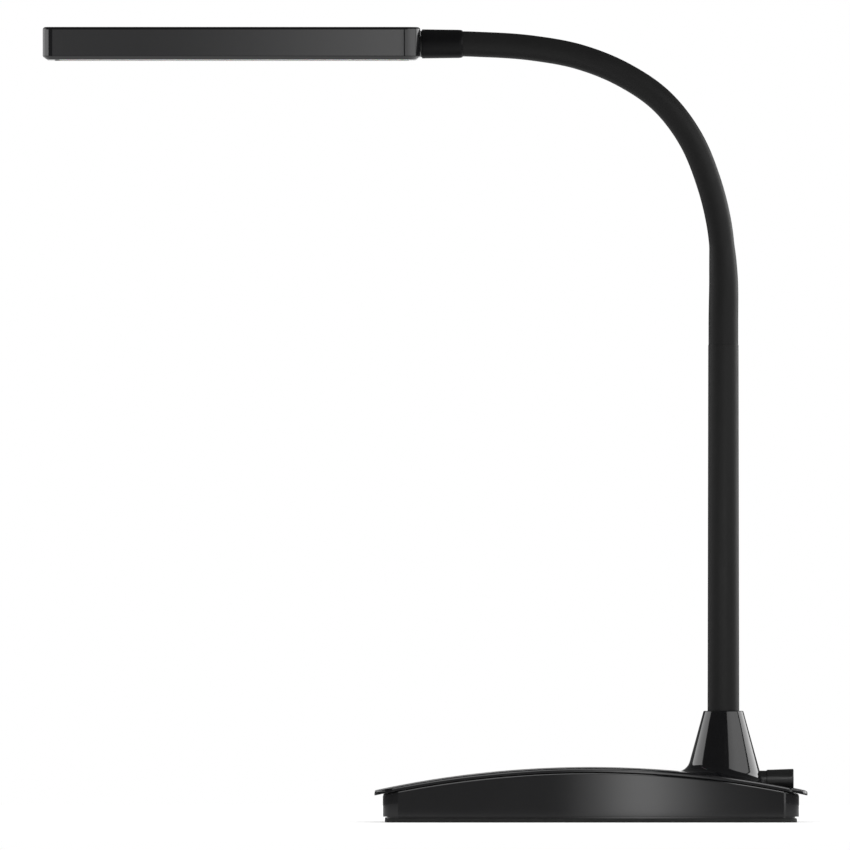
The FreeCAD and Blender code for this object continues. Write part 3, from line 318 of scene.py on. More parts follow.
def rounded_plan(x0, x1, half_width, corner0, corner1, corner_steps=14, run=4.0):
    """Points round a rectangle with round corners, each with its outward direction."""
    points = []

    def corner(cx, cy, radius, start_deg):
        for i in range(corner_steps + 1):
            t = math.radians(start_deg + 90.0 * i / corner_steps)
            out = (math.cos(t), math.sin(t))
            points.append((cx + radius * out[0], cy + radius * out[1], *out))

    def straight(xa, ya, xb, yb, out):
        steps = max(1, round(math.hypot(xb - xa, yb - ya) / run))
        for i in range(1, steps):
            f = i / steps
            points.append((xa + (xb - xa) * f, ya + (yb - ya) * f, *out))

    w = half_width
    corner(x1 - corner1, w - corner1, corner1, 0)
    straight(x1 - corner1, w, x0 + corner0, w, (0, 1))
    corner(x0 + corner0, w - corner0, corner0, 90)
    straight(x0, w - corner0, x0, -w + corner0, (-1, 0))
    corner(x0 + corner0, -w + corner0, corner0, 180)
    straight(x0 + corner0, -w, x1 - corner1, -w, (0, -1))
    corner(x1 - corner1, -w + corner1, corner1, 270)
    straight(x1, -w + corner1, x1, w - corner1, (1, 0))
    return points


def plan_ring(plan, inset, z):
    """One ring of a plan set in by a distance. z is a height, or a function of x."""
    ring = []
    for x, y, nx, ny in plan:
        px = x - nx * inset
        py = y - ny * inset
        ring.append((px, py, z(px) if callable(z) else z))
    return ring


# Materials
def linear(hex_colour):
    """An sRGB hex colour as linear RGBA."""
    channels = [int(hex_colour[i:i + 2], 16) / 255 for i in (1, 3, 5)]
    return [c / 12.92 if c <= 0.04045 else ((c + 0.055) / 1.055) ** 2.4 for c in channels] + [1.0]


def add(tree, kind, values=None, links=None, **settings):
    """Adds a node with its settings, its input values and the links into it."""
    made = tree.nodes.new(kind)
    for name, value in settings.items():
        setattr(made, name, value)
    for name, value in (values or {}).items():
        made.inputs[name].default_value = value
    for name, source in (links or {}).items():
        tree.links.new(source, made.inputs[name])
    return made


def finish(name, colour, roughness, ior=1.5, metallic=0.0, tint=None, patches_mm=30.0, rough_spread=0.0,
           grain_mm=None, grain_depth_mm=0.0, wave_mm=None, wave_depth_mm=0.0, **sockets):
    """A procedural finish: soft patches of colour, uneven roughness, and grain or a slow wave in the face."""
    made = bpy.data.materials.new(name)
    made.use_nodes = True
    tree = made.node_tree
    shader = tree.nodes["Principled BSDF"]
    shader.inputs["IOR"].default_value = ior
    shader.inputs["Metallic"].default_value = metallic
    for socket, value in sockets.items():
        shader.inputs[socket.replace("_", " ")].default_value = value
    where = add(tree, "ShaderNodeTexCoord").outputs["Object"]
    patches = add(tree, "ShaderNodeTexNoise",
                  {"Scale": 1 / (patches_mm * MM), "Detail": 3.0, "Roughness": 0.55}, {"Vector": where})
    mix = add(tree, "ShaderNodeMix", {"A": linear(colour), "B": linear(tint or colour)},
              {"Factor": patches.outputs["Fac"]}, data_type="RGBA")
    tree.links.new(mix.outputs["Result"], shader.inputs["Base Color"])
    shader.inputs["Roughness"].default_value = roughness
    if rough_spread:
        spread = add(tree, "ShaderNodeMapRange",
                     {"From Min": 0.3, "From Max": 0.7,
                      "To Min": roughness - rough_spread, "To Max": roughness + rough_spread},
                     {"Value": patches.outputs["Fac"]})
        tree.links.new(spread.outputs["Result"], shader.inputs["Roughness"])
    normal = None
    for size_mm, depth_mm in ((wave_mm, wave_depth_mm), (grain_mm, grain_depth_mm)):
        if size_mm:
            relief = add(tree, "ShaderNodeTexNoise", {"Scale": 1 / (size_mm * MM), "Detail": 2.0},
                         {"Vector": where})
            links = {"Height": relief.outputs["Fac"]}
            if normal:
                links["Normal"] = normal
            bump = add(tree, "ShaderNodeBump", {"Strength": 1.0, "Distance": depth_mm * MM}, links)
            normal = bump.outputs["Normal"]
    if normal:
        tree.links.new(normal, shader.inputs["Normal"])
    return made


# ABS moulded against a polished steel cavity: deep black, mirror-like, with the slow waviness of a moulding
gloss_abs = finish("ABS_gloss_moulded", "#0e0e0f", 0.085, ior=1.53, tint="#111113", patches_mm=40,
                   rough_spread=0.012, wave_mm=9.0, wave_depth_mm=0.004)
# ABS from a finely stoned cavity: the same black a little greyer, with reflections about as sharp
satin_abs = finish("ABS_satin_moulded", "#141415", 0.075, ior=1.53, tint="#171718", patches_mm=35,
                   rough_spread=0.01, wave_mm=12.0, wave_depth_mm=0.003)
# ABS from a blasted core pin: a dull sheen that spreads along the barrel
barrel_abs = finish("ABS_blasted_moulded", "#1a1a1a", 0.3, ior=1.53, tint="#1e1e1e", patches_mm=6,
                    rough_spread=0.03, grain_mm=0.4, grain_depth_mm=0.004)
# ABS from a spark-eroded cavity: matt, with a fine sandy grain
matt_abs = finish("ABS_spark_eroded", "#0d0d0e", 0.4, ior=1.53, tint="#101011", patches_mm=8,
                  rough_spread=0.05, grain_mm=0.35, grain_depth_mm=0.015, Specular_IOR_Level=0.12)
# Soft-touch polyurethane sprayed on steel tube: velvety and nearly black, its grain drawn coarse to show
soft_touch = finish("polyurethane_soft_touch_sprayed", "#181818", 0.45, tint="#1b1b1b", patches_mm=14,
                    rough_spread=0.04, grain_mm=0.45, grain_depth_mm=0.012, Specular_IOR_Level=0.18)
# Silicone rubber extruded over the coil: matt, with faint patches and a powdery skin
silicone = finish("silicone_rubber_extruded", "#191919", 0.46, ior=1.42, tint="#1c1c1c", patches_mm=10,
                  rough_spread=0.05, grain_mm=0.5, grain_depth_mm=0.015, Specular_IOR_Level=0.2)
# Nitrile rubber sheet, calendered: dull black with a fine leathery grain against slipping
mat_rubber = finish("nitrile_rubber_calendered", "#151515", 0.75, ior=1.52, tint="#1a1a19", patches_mm=6,
                    rough_spread=0.05, grain_mm=0.9, grain_depth_mm=0.08)
# Acetal, turned: waxy black with a low sheen
acetal = finish("acetal_turned", "#141414", 0.35, ior=1.48, tint="#171717", patches_mm=5, rough_spread=0.04)
# Acrylic, opal sheet with a silk face: milky, light goes a little way in
opal = finish("acrylic_opal_cast", "#eceae4", 0.38, ior=1.49, tint="#f0efea", patches_mm=50,
              rough_spread=0.03, grain_mm=0.6, grain_depth_mm=0.004, Subsurface_Weight=0.35,
              Subsurface_Scale=0.002)
# Polycarbonate, white moulded: bright and flat
white_pc = finish("polycarbonate_white_moulded", "#ebebe8", 0.55, ior=1.58, tint="#e6e6e2", patches_mm=12)
# Steel, zinc plated: pale grey with a blue cast and a light mottling
zinc = finish("steel_zinc_plated", "#c9cbcc", 0.32, metallic=1.0, tint="#bfc3c6", patches_mm=1.5,
              rough_spread=0.06)
# Steel, turned: grey, roughened a little by the tool
turned_steel = finish("steel_turned", "#b4b5b7", 0.3, metallic=1.0, tint="#a9abad", patches_mm=2,
                      rough_spread=0.05, grain_mm=0.25, grain_depth_mm=0.01)
# Spring steel wire, drawn: dark grey, dull from its drawing soap
coil_steel = finish("spring_steel_wire_drawn", "#8d8e90", 0.4, metallic=1.0, tint="#7c7d80", patches_mm=1.5,
                    rough_spread=0.06)
# Steel plate, hot rolled and oiled: dark with blue-brown scale
ballast_steel = finish("steel_hot_rolled", "#55565a", 0.5, metallic=1.0, tint="#4a4644", patches_mm=9,
                       rough_spread=0.1)
# Aluminium sheet, mill finish: soft cloudy grey
sheet_aluminium = finish("aluminium_sheet_rolled", "#d2d3d5", 0.38, metallic=1.0, tint="#c8cacc",
                         patches_mm=5, rough_spread=0.05)
# Aluminium-backed board under white solder mask: clean white, slightly glossy
lamp_board = finish("solder_mask_white_printed", "#e9e9e6", 0.3, tint="#e4e4e0", patches_mm=10)
# Silicone with yellow phosphor in white packages
phosphor = finish("phosphor_silicone_cast", "#e8cf63", 0.35, ior=1.42, tint="#e3c552", patches_mm=1.0)
# Glass-epoxy board under green solder mask, faintly uneven
circuit_board = finish("glass_epoxy_green_mask", "#1e5a33", 0.28, ior=1.55, tint="#1a4f2d", patches_mm=1.2,
                       grain_mm=0.5, grain_depth_mm=0.005)
# Moulded epoxy packages of the board's parts: dull charcoal
epoxy_black = finish("epoxy_moulded", "#232324", 0.55, tint="#292929", patches_mm=2, grain_mm=0.3,
                     grain_depth_mm=0.01)
# Nylon, natural, moulded: creamy and slightly shiny
nylon = finish("nylon_natural_moulded", "#ddd8c6", 0.42, ior=1.53, tint="#d6d0bb", patches_mm=4)
# Brass with a nickel flash, turned: pale warm metal
brass = finish("brass_nickel_flashed", "#cdb98a", 0.22, metallic=1.0, tint="#c4b07f", patches_mm=1.0,
               rough_spread=0.04)
# PVC lead jacket, extruded: black with a soft shine
lead_pvc = finish("PVC_extruded", "#161617", 0.38, ior=1.53, tint="#19191a", patches_mm=4, rough_spread=0.04)

finish_of_slot = {
    "gloss_black_abs": gloss_abs, "satin_black_abs": satin_abs, "soft_touch_coat": soft_touch,
    "neck_rubber": silicone, "matt_black_abs": matt_abs, "black_acetal": acetal, "mat_rubber": mat_rubber,
    "zinc_steel": zinc, "turned_steel": turned_steel, "coil_steel": coil_steel,
    "ballast_steel": ballast_steel,
    "opal_acrylic": opal, "white_reflector": white_pc, "sheet_aluminium": sheet_aluminium,
    "lamp_board": lamp_board, "lamp_phosphor": phosphor, "circuit_board": circuit_board,
    "component_black": epoxy_black, "socket_nylon": nylon, "contact_brass": brass, "lead_pvc": lead_pvc,
}
for part in frame["record"]["subparts"]:
    node = frame["nodes"][part["node"]]
    node.data.materials.clear()
    node.data.materials.append(finish_of_slot[part["material_slot"]])


# Base: the lid with its cone
def lid():
    """Rings round the stem: down the cone, round its foot, over the crown to the edge, and back below."""
    plan = rounded_plan(-LID_HALF_LENGTH, LID_HALF_LENGTH, LID_HALF_WIDTH, LID_CORNER, LID_CORNER,
                        corner_steps=12, run=3.0)
    slope = math.tan(CONE_SLOPE)
    n_out, n_up = math.cos(CONE_SLOPE), math.sin(CONE_SLOPE)
    top_centre = (CONE_TOP_RADIUS + CONE_TOP_ROUND * (slope - 1 / n_out), CONE_TOP_Z - CONE_TOP_ROUND)
    top_round = arc(top_centre, CONE_TOP_ROUND, 90, math.degrees(CONE_SLOPE), CONE_TOP_STEPS)
    hollow_top_z = CONE_TOP_Z - CONE_CAP
    hollow_top_radius = CONE_TOP_RADIUS + CONE_CAP * slope - CONE_WALL
    columns = []
    for x, y, nx, ny in plan:
        away = Vector((x - STEM_X, y, 0)).normalized()
        middle = Vector((STEM_X, 0, 0))

        def at(radius, z):
            return middle + away * radius + Vector((0, 0, z))

        # The ball that rolls round the cone's foot touches the crown and the cone's side
        z = crown_z(STEM_X)
        for _ in range(SETTLE_ROUNDS):
            r = CONE_TOP_RADIUS + (CONE_TOP_Z - z) * slope + CONE_FOOT_ROUND / n_out
            z = crown_z(STEM_X + r * away.x, -CONE_FOOT_ROUND)
        centre = at(r, z)
        to_cone = -(away * n_out + Vector((0, 0, n_up)))
        to_crown = -Vector((centre.x, 0, centre.z - CROWN_MIDDLE_Z)).normalized()
        foot = [centre + to_cone.slerp(to_crown, i / CONE_FOOT_STEPS) * CONE_FOOT_ROUND
                for i in range(CONE_FOOT_STEPS + 1)]
        column = [at(STEM_HOLE_RADIUS, CONE_TOP_Z - LID_EDGE_BREAK),
                  at(STEM_HOLE_RADIUS + LID_EDGE_BREAK, CONE_TOP_Z)]
        column += [at(*p) for p in top_round]
        last = column[-1]
        column += [last.lerp(foot[0], i / CONE_SIDE_STEPS) for i in range(1, CONE_SIDE_STEPS)] + foot
        inset = LID_EDGE_ROUND + LID_EDGE_DRAFT
        edge = Vector((x - nx * inset, y - ny * inset, 0))
        start = foot[-1]
        for i in range(1, CROWN_STEPS + 1):
            p = start.lerp(edge, i / CROWN_STEPS)
            column.append(Vector((p.x, p.y, crown_z(p.x))))
        rim_z = crown_z(edge.x)
        for i in range(1, LID_EDGE_STEPS + 1):
            t = math.radians(LID_EDGE_ARC_DEGREES * i / LID_EDGE_STEPS)
            out = inset - LID_EDGE_ROUND * math.sin(t)
            column.append(Vector((x - nx * out, y - ny * out, rim_z - LID_EDGE_ROUND * (1 - math.cos(t)))))
        column.append(Vector((x, y, rim_z - LID_EDGE_ROUND - LID_EDGE_DRAFT_HEIGHT)))
        under = crown_z(x, LID_SHEET)
        column.append(Vector((x, y, under + LID_EDGE_BREAK)))
        start = Vector((x - nx * LID_EDGE_BREAK, y - ny * LID_EDGE_BREAK, 0))
        column.append(Vector((start.x, start.y, under)))
        z = crown_z(STEM_X, LID_SHEET)
        for _ in range(SETTLE_ROUNDS):
            r = hollow_top_radius + (hollow_top_z - z) * slope
            z = crown_z(STEM_X + r * away.x, LID_SHEET)
        for i in range(1, UNDERSIDE_STEPS + 1):
            p = start.lerp(at(r, 0), i / UNDERSIDE_STEPS)
            column.append(Vector((p.x, p.y, crown_z(p.x, LID_SHEET))))
        column += [at(hollow_top_radius, hollow_top_z), at(STEM_HOLE_RADIUS, hollow_top_z)]
        columns.append(column)
    rings = [list(ring) for ring in zip(*columns)]
    return skin(rings, ring_shaped=True)


def disc(radius, bottom_drop, top_drop, rim, count=96):
    """A round slice of the crown at the touch key, from one depth to another, with a shallow dish on top."""
    rows = [(radius * f, bottom_drop) for f in KEY_UNDERSIDE_RINGS]
    rows += [(radius, top_drop + rim), (radius - rim * 0.3, top_drop + rim * 0.3), (radius - rim, top_drop)]
    rows += [(radius * f, top_drop + KEY_DISH * (1 - f * f) * (1 - f ** 8)) for f in KEY_TOP_RINGS]
    rings = []
    for r, drop in rows:
        ring = []
        for k in range(count):
            t = 2 * math.pi * k / count
            x = KEY_X + r * math.cos(t)
            ring.append((x, r * math.sin(t), crown_z(x, drop)))
        rings.append(ring)
    return skin(rings)


def true_crown_normals(made):
    """Gives the crowned surface its exact normals, so that its reflections run clean past the key."""
    mesh = made.data
    centre = Vector((0, 0, CROWN_MIDDLE_Z * MM))
    normals = [Vector(n.vector) for n in mesh.corner_normals]
    for face in mesh.polygons:
        for corner in face.loop_indices:
            p = mesh.vertices[mesh.loops[corner].vertex_index].co
            out = Vector((p.x, 0, p.z - centre.z))
            on_crown = abs(out.length - CROWN_RADIUS * MM) < CROWN_NEAR * MM
            if on_crown and face.normal.dot(out.normalized()) > CROWN_FACING:
                normals[corner] = out.normalized()
    mesh.normals_split_custom_set(normals)


base_lid = piece("base_lid", *lid(), "base", gloss_abs, "gloss_black_abs")
cutter = piece("key_cutter", *disc(KEY_RADIUS + KEY_GAP, KEY_DEPTH, -CUTTER_RISE, CUTTER_RIM), "base",
               gloss_abs, "gloss_black_abs")
cut = base_lid.modifiers.new("key_recess", "BOOLEAN")
cut.operation = "DIFFERENCE"
cut.solver = "EXACT"
cut.object = cutter
base_lid.modifiers.remove(base_lid.modifiers["even_shading"])
bpy.context.view_layer.update()
graph = bpy.context.evaluated_depsgraph_get()
base_lid.data = bpy.data.meshes.new_from_object(base_lid.evaluated_get(graph))
base_lid.modifiers.clear()
bpy.data.objects.remove(cutter)
true_crown_normals(base_lid)
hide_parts("base_cover")

touch_key = piece("touch_key_cap", *disc(KEY_RADIUS, KEY_DEPTH - KEY_FLOOR_GAP, 0.0, KEY_RIM), "base",
                  gloss_abs, "gloss_black_abs")
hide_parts("touch_key")

barrel_end = BARREL_END_X - BARREL_START_X
barrel_section = [
    (BARREL_AXIS_RING, -BARREL_TAIL), (BARREL_NECK_RADIUS, -BARREL_TAIL),
    (BARREL_NECK_RADIUS, -BARREL_STEP_BREAK), (BARREL_NECK_RADIUS + BARREL_STEP_BREAK, 0.0),
    (BARREL_START_RADIUS - BARREL_START_BREAK, 0.0), (BARREL_START_RADIUS, BARREL_START_BREAK),
    *arc((BARREL_END_RADIUS - BARREL_END_ROUND, barrel_end - BARREL_END_ROUND), BARREL_END_ROUND, 0, 90, 5),
    (BARREL_BORE_RADIUS + BARREL_BORE_BREAK, barrel_end),
    (BARREL_BORE_RADIUS, barrel_end - BARREL_BORE_BREAK),
    (BARREL_BORE_RADIUS, barrel_end - BARREL_BORE_DEPTH),
    (BARREL_AXIS_RING, barrel_end - BARREL_BORE_DEPTH),
]
inlet_barrel = piece("inlet_barrel", *skin(turned(barrel_section, (BARREL_START_X, 0, INLET_Z), (1, 0, 0))),
                     "base", barrel_abs, "satin_black_abs")
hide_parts("base_cover")


# Base: the tray and the foot mat
def tray():
    """The lower shell: its underside round the pad, its wall up to the rim, and its floor inside."""
    plan = rounded_plan(-TRAY_HALF_LENGTH, TRAY_HALF_LENGTH, TRAY_HALF_WIDTH, TRAY_CORNER, TRAY_CORNER)

    def rim(x):
        return crown_z(x, TRAY_DROP)

    rings = [
        plan_ring(plan, TRAY_UNDERSIDE_INSET, MAT_TOP_Z), plan_ring(plan, PAD_INSET, MAT_TOP_Z),
        plan_ring(plan, PAD_INSET, TRAY_BOTTOM_Z), plan_ring(plan, TRAY_FOOT_ROUND, TRAY_BOTTOM_Z),
        plan_ring(plan, TRAY_FOOT_ROUND_MIDDLE, TRAY_BOTTOM_Z + TRAY_FOOT_ROUND_MIDDLE),
        plan_ring(plan, 0.0, TRAY_BOTTOM_Z + TRAY_FOOT_ROUND),
        plan_ring(plan, 0.0, lambda x: (TRAY_BOTTOM_Z + rim(x)) / 2),
        plan_ring(plan, 0.0, lambda x: rim(x) - TRAY_RIM_HEIGHT),
        plan_ring(plan, TRAY_RIM_DRAFT, lambda x: rim(x) - TRAY_CHAMFER),
        plan_ring(plan, TRAY_RIM_DRAFT + TRAY_CHAMFER, rim), plan_ring(plan, TRAY_WALL, rim),
        plan_ring(plan, TRAY_WALL, TRAY_FLOOR_Z),
    ]
    return skin(rings)


base_tray = piece("tray_shell", *tray(), "base", satin_abs, "satin_black_abs")
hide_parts("base_tray")

mat_plan = rounded_plan(-TRAY_HALF_LENGTH, TRAY_HALF_LENGTH, TRAY_HALF_WIDTH, TRAY_CORNER, TRAY_CORNER)
foot_mat = piece("foot_mat_sheet", *skin([
    plan_ring(mat_plan, MAT_INSET + MAT_FOOT_BREAK, 0.0), plan_ring(mat_plan, MAT_INSET, MAT_FOOT_BREAK),
    *[plan_ring(mat_plan, MAT_INSET + inset, MAT_TOP_Z - drop) for inset, drop in MAT_TOP_EDGE],
]), "base", mat_rubber, "mat_rubber")
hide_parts("foot_mat")

# Stem
stem_section = [
    (STEM_FOOT_RADIUS - STEM_WALL, STEM_BOTTOM_Z), (STEM_FOOT_RADIUS, STEM_BOTTOM_Z),
    (STEM_FOOT_RADIUS, CONE_TOP_Z), (STEM_TOP_RADIUS, STEM_TOP_Z - STEM_TOP_ROUND),
    (STEM_TOP_RADIUS - STEM_TOP_ROUND_MIDDLE, STEM_TOP_Z - STEM_TOP_ROUND_MIDDLE),
    (STEM_TOP_RADIUS - STEM_TOP_ROUND, STEM_TOP_Z), (STEM_TOP_RADIUS - STEM_WALL, STEM_TOP_Z),
]
stem = piece("stem_coated_tube", *skin(turned(stem_section, (STEM_X, 0, 0), (0, 0, 1), 128), True),
             "base", soft_touch, "soft_touch_coat")
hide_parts("stem_tube")


# Neck: a smooth sleeve over a coil, in stretches from the middle of one link to the middle of the next
neck_joints = [j for j in frame["joints"] if j["name"] != "head_swivel"]
hinges = [Vector(j["pos_m"]) / MM for j in neck_joints]
chain = [neck_joints[0]["parent"]] + [j["child"] for j in neck_joints]
half_link = (hinges[1] - hinges[0]).length / 2
middles = [Vector((STEM_X, 0, STEM_TOP_Z))]
middles += [(a + b) / 2 for a, b in zip(hinges, hinges[1:])]
last_direction = Vector((-1, 0, 0))
middles.append(hinges[-1] + last_direction * half_link)
directions = [(h - m).normalized() for h, m in zip(hinges, middles)] + [last_direction]


def sleeve_radius(distance):
    """Outer radius of the sleeve, which swells into a boot where it meets the stem."""
    u = min(distance / BOOT_LENGTH, 1.0)
    return SLEEVE_RADIUS + (BOOT_RADIUS - SLEEVE_RADIUS) * (1 - u ** BOOT_POWER)


hung = [h - Vector((0, 0, sag)) for h, sag in zip(hinges, NECK_SAG)]
posts = [middles[0]] + hung + [middles[-1]]
headings = [directions[0]]
headings += [(a + b).normalized() for a, b in zip(directions, directions[1:])]
headings.append(last_direction)


def on_span(n, u):
    """Place and direction at a share u of the smooth span from post n to post n + 1."""
    p, q = posts[n], posts[n + 1]
    reach = (q - p).length
    v, w = headings[n] * reach, headings[n + 1] * reach
    place = (p * (2 * u ** 3 - 3 * u ** 2 + 1) + v * (u ** 3 - 2 * u ** 2 + u)
             + q * (3 * u ** 2 - 2 * u ** 3) + w * (u ** 3 - u ** 2))
    heading = (p * (6 * u ** 2 - 6 * u) + v * (3 * u ** 2 - 4 * u + 1)
               + q * (6 * u - 6 * u ** 2) + w * (3 * u ** 2 - 2 * u))
    return place, heading.normalized()


def along_neck(i, f):
    """Place and direction at a share f of the stretch round hinge i."""
    if f < 0.5:
        return on_span(i, 2 * f if i == 0 else f + 0.5)
    return on_span(i + 1, 2 * f - 1 if i == len(hinges) - 1 else f - 0.5)


def neck_stretch(i, first, last, steps, outer, inner, tail=0.0, count=72):
    """A hollow stretch round hinge i, from one share of its length to another, and straight on for a tail."""
    shares = [first + (last - first) * k / steps for k in range(steps + 1)]
    stations = [along_neck(i, f) for f in shares]
    if tail:
        place, direction = stations[-1]
        stations.append((place + direction * tail, direction))
        shares.append(shares[-1])
    outside = [ring_at(p, d, outer((i + f) * 2 * half_link, k), count)
               for k, ((p, d), f) in enumerate(zip(stations, shares))]
    inside = [ring_at(p, d, inner, count) for p, d in stations]
    return skin(outside + list(reversed(inside)), ring_shaped=True)


for i, (a, b) in enumerate(zip(chain, chain[1:])):
    span = (b, middles[i], middles[i + 1])
    tail = SLEEVE_IN_COLLAR if i == len(hinges) - 1 else 0.0
    sleeve = piece("neck_sleeve_stretch_%d" % i,
                   *neck_stretch(i, 0.0, 1.0, SLEEVE_STEPS, lambda s, k: sleeve_radius(s), SLEEVE_BORE, tail),
                   a, silicone, "neck_rubber", sharp=60, blend=span)
    if i == 0:
        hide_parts("neck_root_boot")
    else:
        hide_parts("neck_sleeve_%02d" % i)
    if tail:
        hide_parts("neck_end_sleeve")
    first = COIL_START if i == 0 else 0.0
    last = COIL_END if tail else 1.0
    coil = piece("neck_coil_stretch_%d" % i,
                 *neck_stretch(i, first, last, COIL_STEPS,
                               lambda s, k: CORE_RADIUS - COIL_RIDGES[k % len(COIL_RIDGES)],
                               CORE_BORE, count=40),
                 a, coil_steel, "coil_steel", sharp=80, blend=span)
    if i:
        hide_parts("neck_core_%02d" % i)

# Collar and spacer
collar_start = middles[-1]
collar_bore = SLEEVE_RADIUS + COLLAR_BORE_GAP
collar_mouth = SLEEVE_RADIUS + COLLAR_MOUTH_GAP
spigot_hole = SPIGOT_RADIUS + SPIGOT_GAP
collar_section = [
    (collar_bore, 0.0), (collar_mouth, 0.0),
    *[(collar_mouth + (COLLAR_NECK_RADIUS - collar_mouth) * math.sin(math.radians(t)),
       COLLAR_CHAMFER * (1 - math.cos(math.radians(t)))) for t in (30, 60, 90)],
    (COLLAR_HEAD_RADIUS, COLLAR_LENGTH - COLLAR_END_ROUND),
    (COLLAR_HEAD_RADIUS - COLLAR_END_ROUND_MIDDLE, COLLAR_LENGTH - COLLAR_END_ROUND_MIDDLE),
    (COLLAR_HEAD_RADIUS - COLLAR_END_ROUND, COLLAR_LENGTH), (spigot_hole, COLLAR_LENGTH),
    (spigot_hole, COLLAR_LENGTH - COLLAR_FLOOR), (collar_bore, COLLAR_LENGTH - COLLAR_FLOOR),
]
collar = piece("collar_sleeve_nut", *skin(turned(collar_section, collar_start, last_direction), True),
               "neck_end", matt_abs, "matt_black_abs")
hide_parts("neck_collar")
spacer_start = collar_start + last_direction * COLLAR_LENGTH
spacer = piece("swivel_spacer_ring", *skin(turned([
    (SPIGOT_RADIUS, 0.0), (SPACER_RADIUS, 0.0),
    (SPACER_RADIUS, SPACER_THICKNESS), (SPIGOT_RADIUS, SPACER_THICKNESS),
], spacer_start, last_direction), True), "neck_end", acetal, "black_acetal")
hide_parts("swivel_spacer")

# Head, drawn with its length along -X from its end wall and its middle height at the swivel's axis
head_x = collar_start.x - COLLAR_LENGTH - SPACER_THICKNESS - HEAD_GAP
head_z = collar_start.z
head_plan = rounded_plan(head_x - HEAD_LENGTH, head_x, HEAD_HALF_WIDTH, HEAD_TIP_CORNER, HEAD_NECK_CORNER)
seam_z = head_z - HEAD_HALF_HEIGHT + BEZEL_HEIGHT
top_z = head_z + HEAD_HALF_HEIGHT
bottom_z = head_z - HEAD_HALF_HEIGHT


def head_ring(inset, z):
    """One ring of the head's plan, set in by a distance, at a height."""
    return plan_ring(head_plan, inset, z)


head_top_round = arc((HEAD_TOP_ROUND, top_z - HEAD_TOP_ROUND), HEAD_TOP_ROUND, 180, 90, 7)
housing = piece("head_shell", *skin([
    head_ring(HEAD_WALL, top_z - HEAD_ROOF), head_ring(HEAD_WALL, seam_z),
    head_ring(HEAD_EDGE_BREAK, seam_z), head_ring(0.0, seam_z + HEAD_EDGE_BREAK),
    *[head_ring(*p) for p in head_top_round], head_ring(HEAD_TOP_ROUND + HEAD_TOP_MARGIN, top_z),
]), "head", gloss_abs, "gloss_black_abs")
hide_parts("head_housing")

lip_top_z = seam_z + BEZEL_LIP_RISE
lip_outside = HEAD_WALL + BEZEL_LIP_GAP
bezel_top_z = seam_z - BEZEL_SEAM_GAP
bezel = piece("head_bezel_frame", *flip(skin([
    head_ring(lip_outside, bezel_top_z), head_ring(HEAD_EDGE_BREAK, bezel_top_z),
    head_ring(BEZEL_TOP_INSET, seam_z - BEZEL_TOP_DROP),
    head_ring(BEZEL_SLOPE - BEZEL_FOOT_BEFORE, bottom_z + BEZEL_FOOT_RISE),
    head_ring(BEZEL_SLOPE + BEZEL_FOOT_PAST, bottom_z),
    head_ring(WINDOW_INSET - WINDOW_EDGE_BREAK, bottom_z),
    head_ring(WINDOW_INSET, bottom_z + WINDOW_EDGE_BREAK),
    head_ring(WINDOW_INSET, bottom_z + WINDOW_LEDGE),
    head_ring(WINDOW_INSET - WINDOW_REST, bottom_z + WINDOW_LEDGE),
    head_ring(WINDOW_INSET - WINDOW_REST, seam_z), head_ring(lip_outside + BEZEL_LIP, seam_z),
    head_ring(lip_outside + BEZEL_LIP, lip_top_z), head_ring(lip_outside, lip_top_z),
], ring_shaped=True)), "head", gloss_abs, "gloss_black_abs")
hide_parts("head_bezel")

face_z = bottom_z + DIFFUSER_RECESS
diffuser = piece("diffuser_sheet", *flip(skin([
    head_ring(WINDOW_INSET - WINDOW_REST + DIFFUSER_GAP, bottom_z + WINDOW_LEDGE + DIFFUSER_THICKNESS),
    head_ring(WINDOW_INSET - WINDOW_REST + DIFFUSER_GAP, bottom_z + WINDOW_LEDGE),
    head_ring(WINDOW_INSET + DIFFUSER_GAP, bottom_z + WINDOW_LEDGE),
    *[head_ring(WINDOW_INSET + inset, face_z + rise) for inset, rise in DIFFUSER_EDGE],
])), "head", opal, "opal_acrylic")
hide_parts("diffuser")


# Studio: floor, pale surroundings and soft lamps that the camera doesn't see. Its sizes are in metres
PLAIN_LEVEL = 0.88
FLOOR_RADIUS = 1.2
FLOOR_SIDES = 120
# Just under the foot mat, so that the two faces don't lie in each other
FLOOR_Z = -0.00003
# Brightness along a lamp's width, as (place, share)
FRONT_RIGHT_FADE = ((0.0, 0.76), (0.3, 0.95), (0.5, 1.0), (1.0, 0.85))
HEAD_FADE = ((0.0, 0.4), (0.3, 0.29), (0.55, 0.45), (0.75, 0.75), (0.95, 1.05))
BASE_FADE = ((0.346, 0.105), (0.459, 0.18), (0.535, 0.6), (0.598, 1.0), (0.661, 0.76), (0.737, 0.28),
             (0.85, 0.105))
# What gloss sees, by the parts of a direction's unit vector: the soft side and top of the white screen, the
# middle and half height of the dark skirting, and the heights between which the dark studio dims
SCREEN_SIDE = (0.975, 0.99)
SCREEN_TOP = (0.3, 0.5)
SKIRTING_MIDDLE = 0.028
SKIRTING_HALF_HEIGHT = 0.034
GLOOM_HEIGHTS = (0.05, 0.4)
GLOOM_LEVELS = (0.16, 0.08)


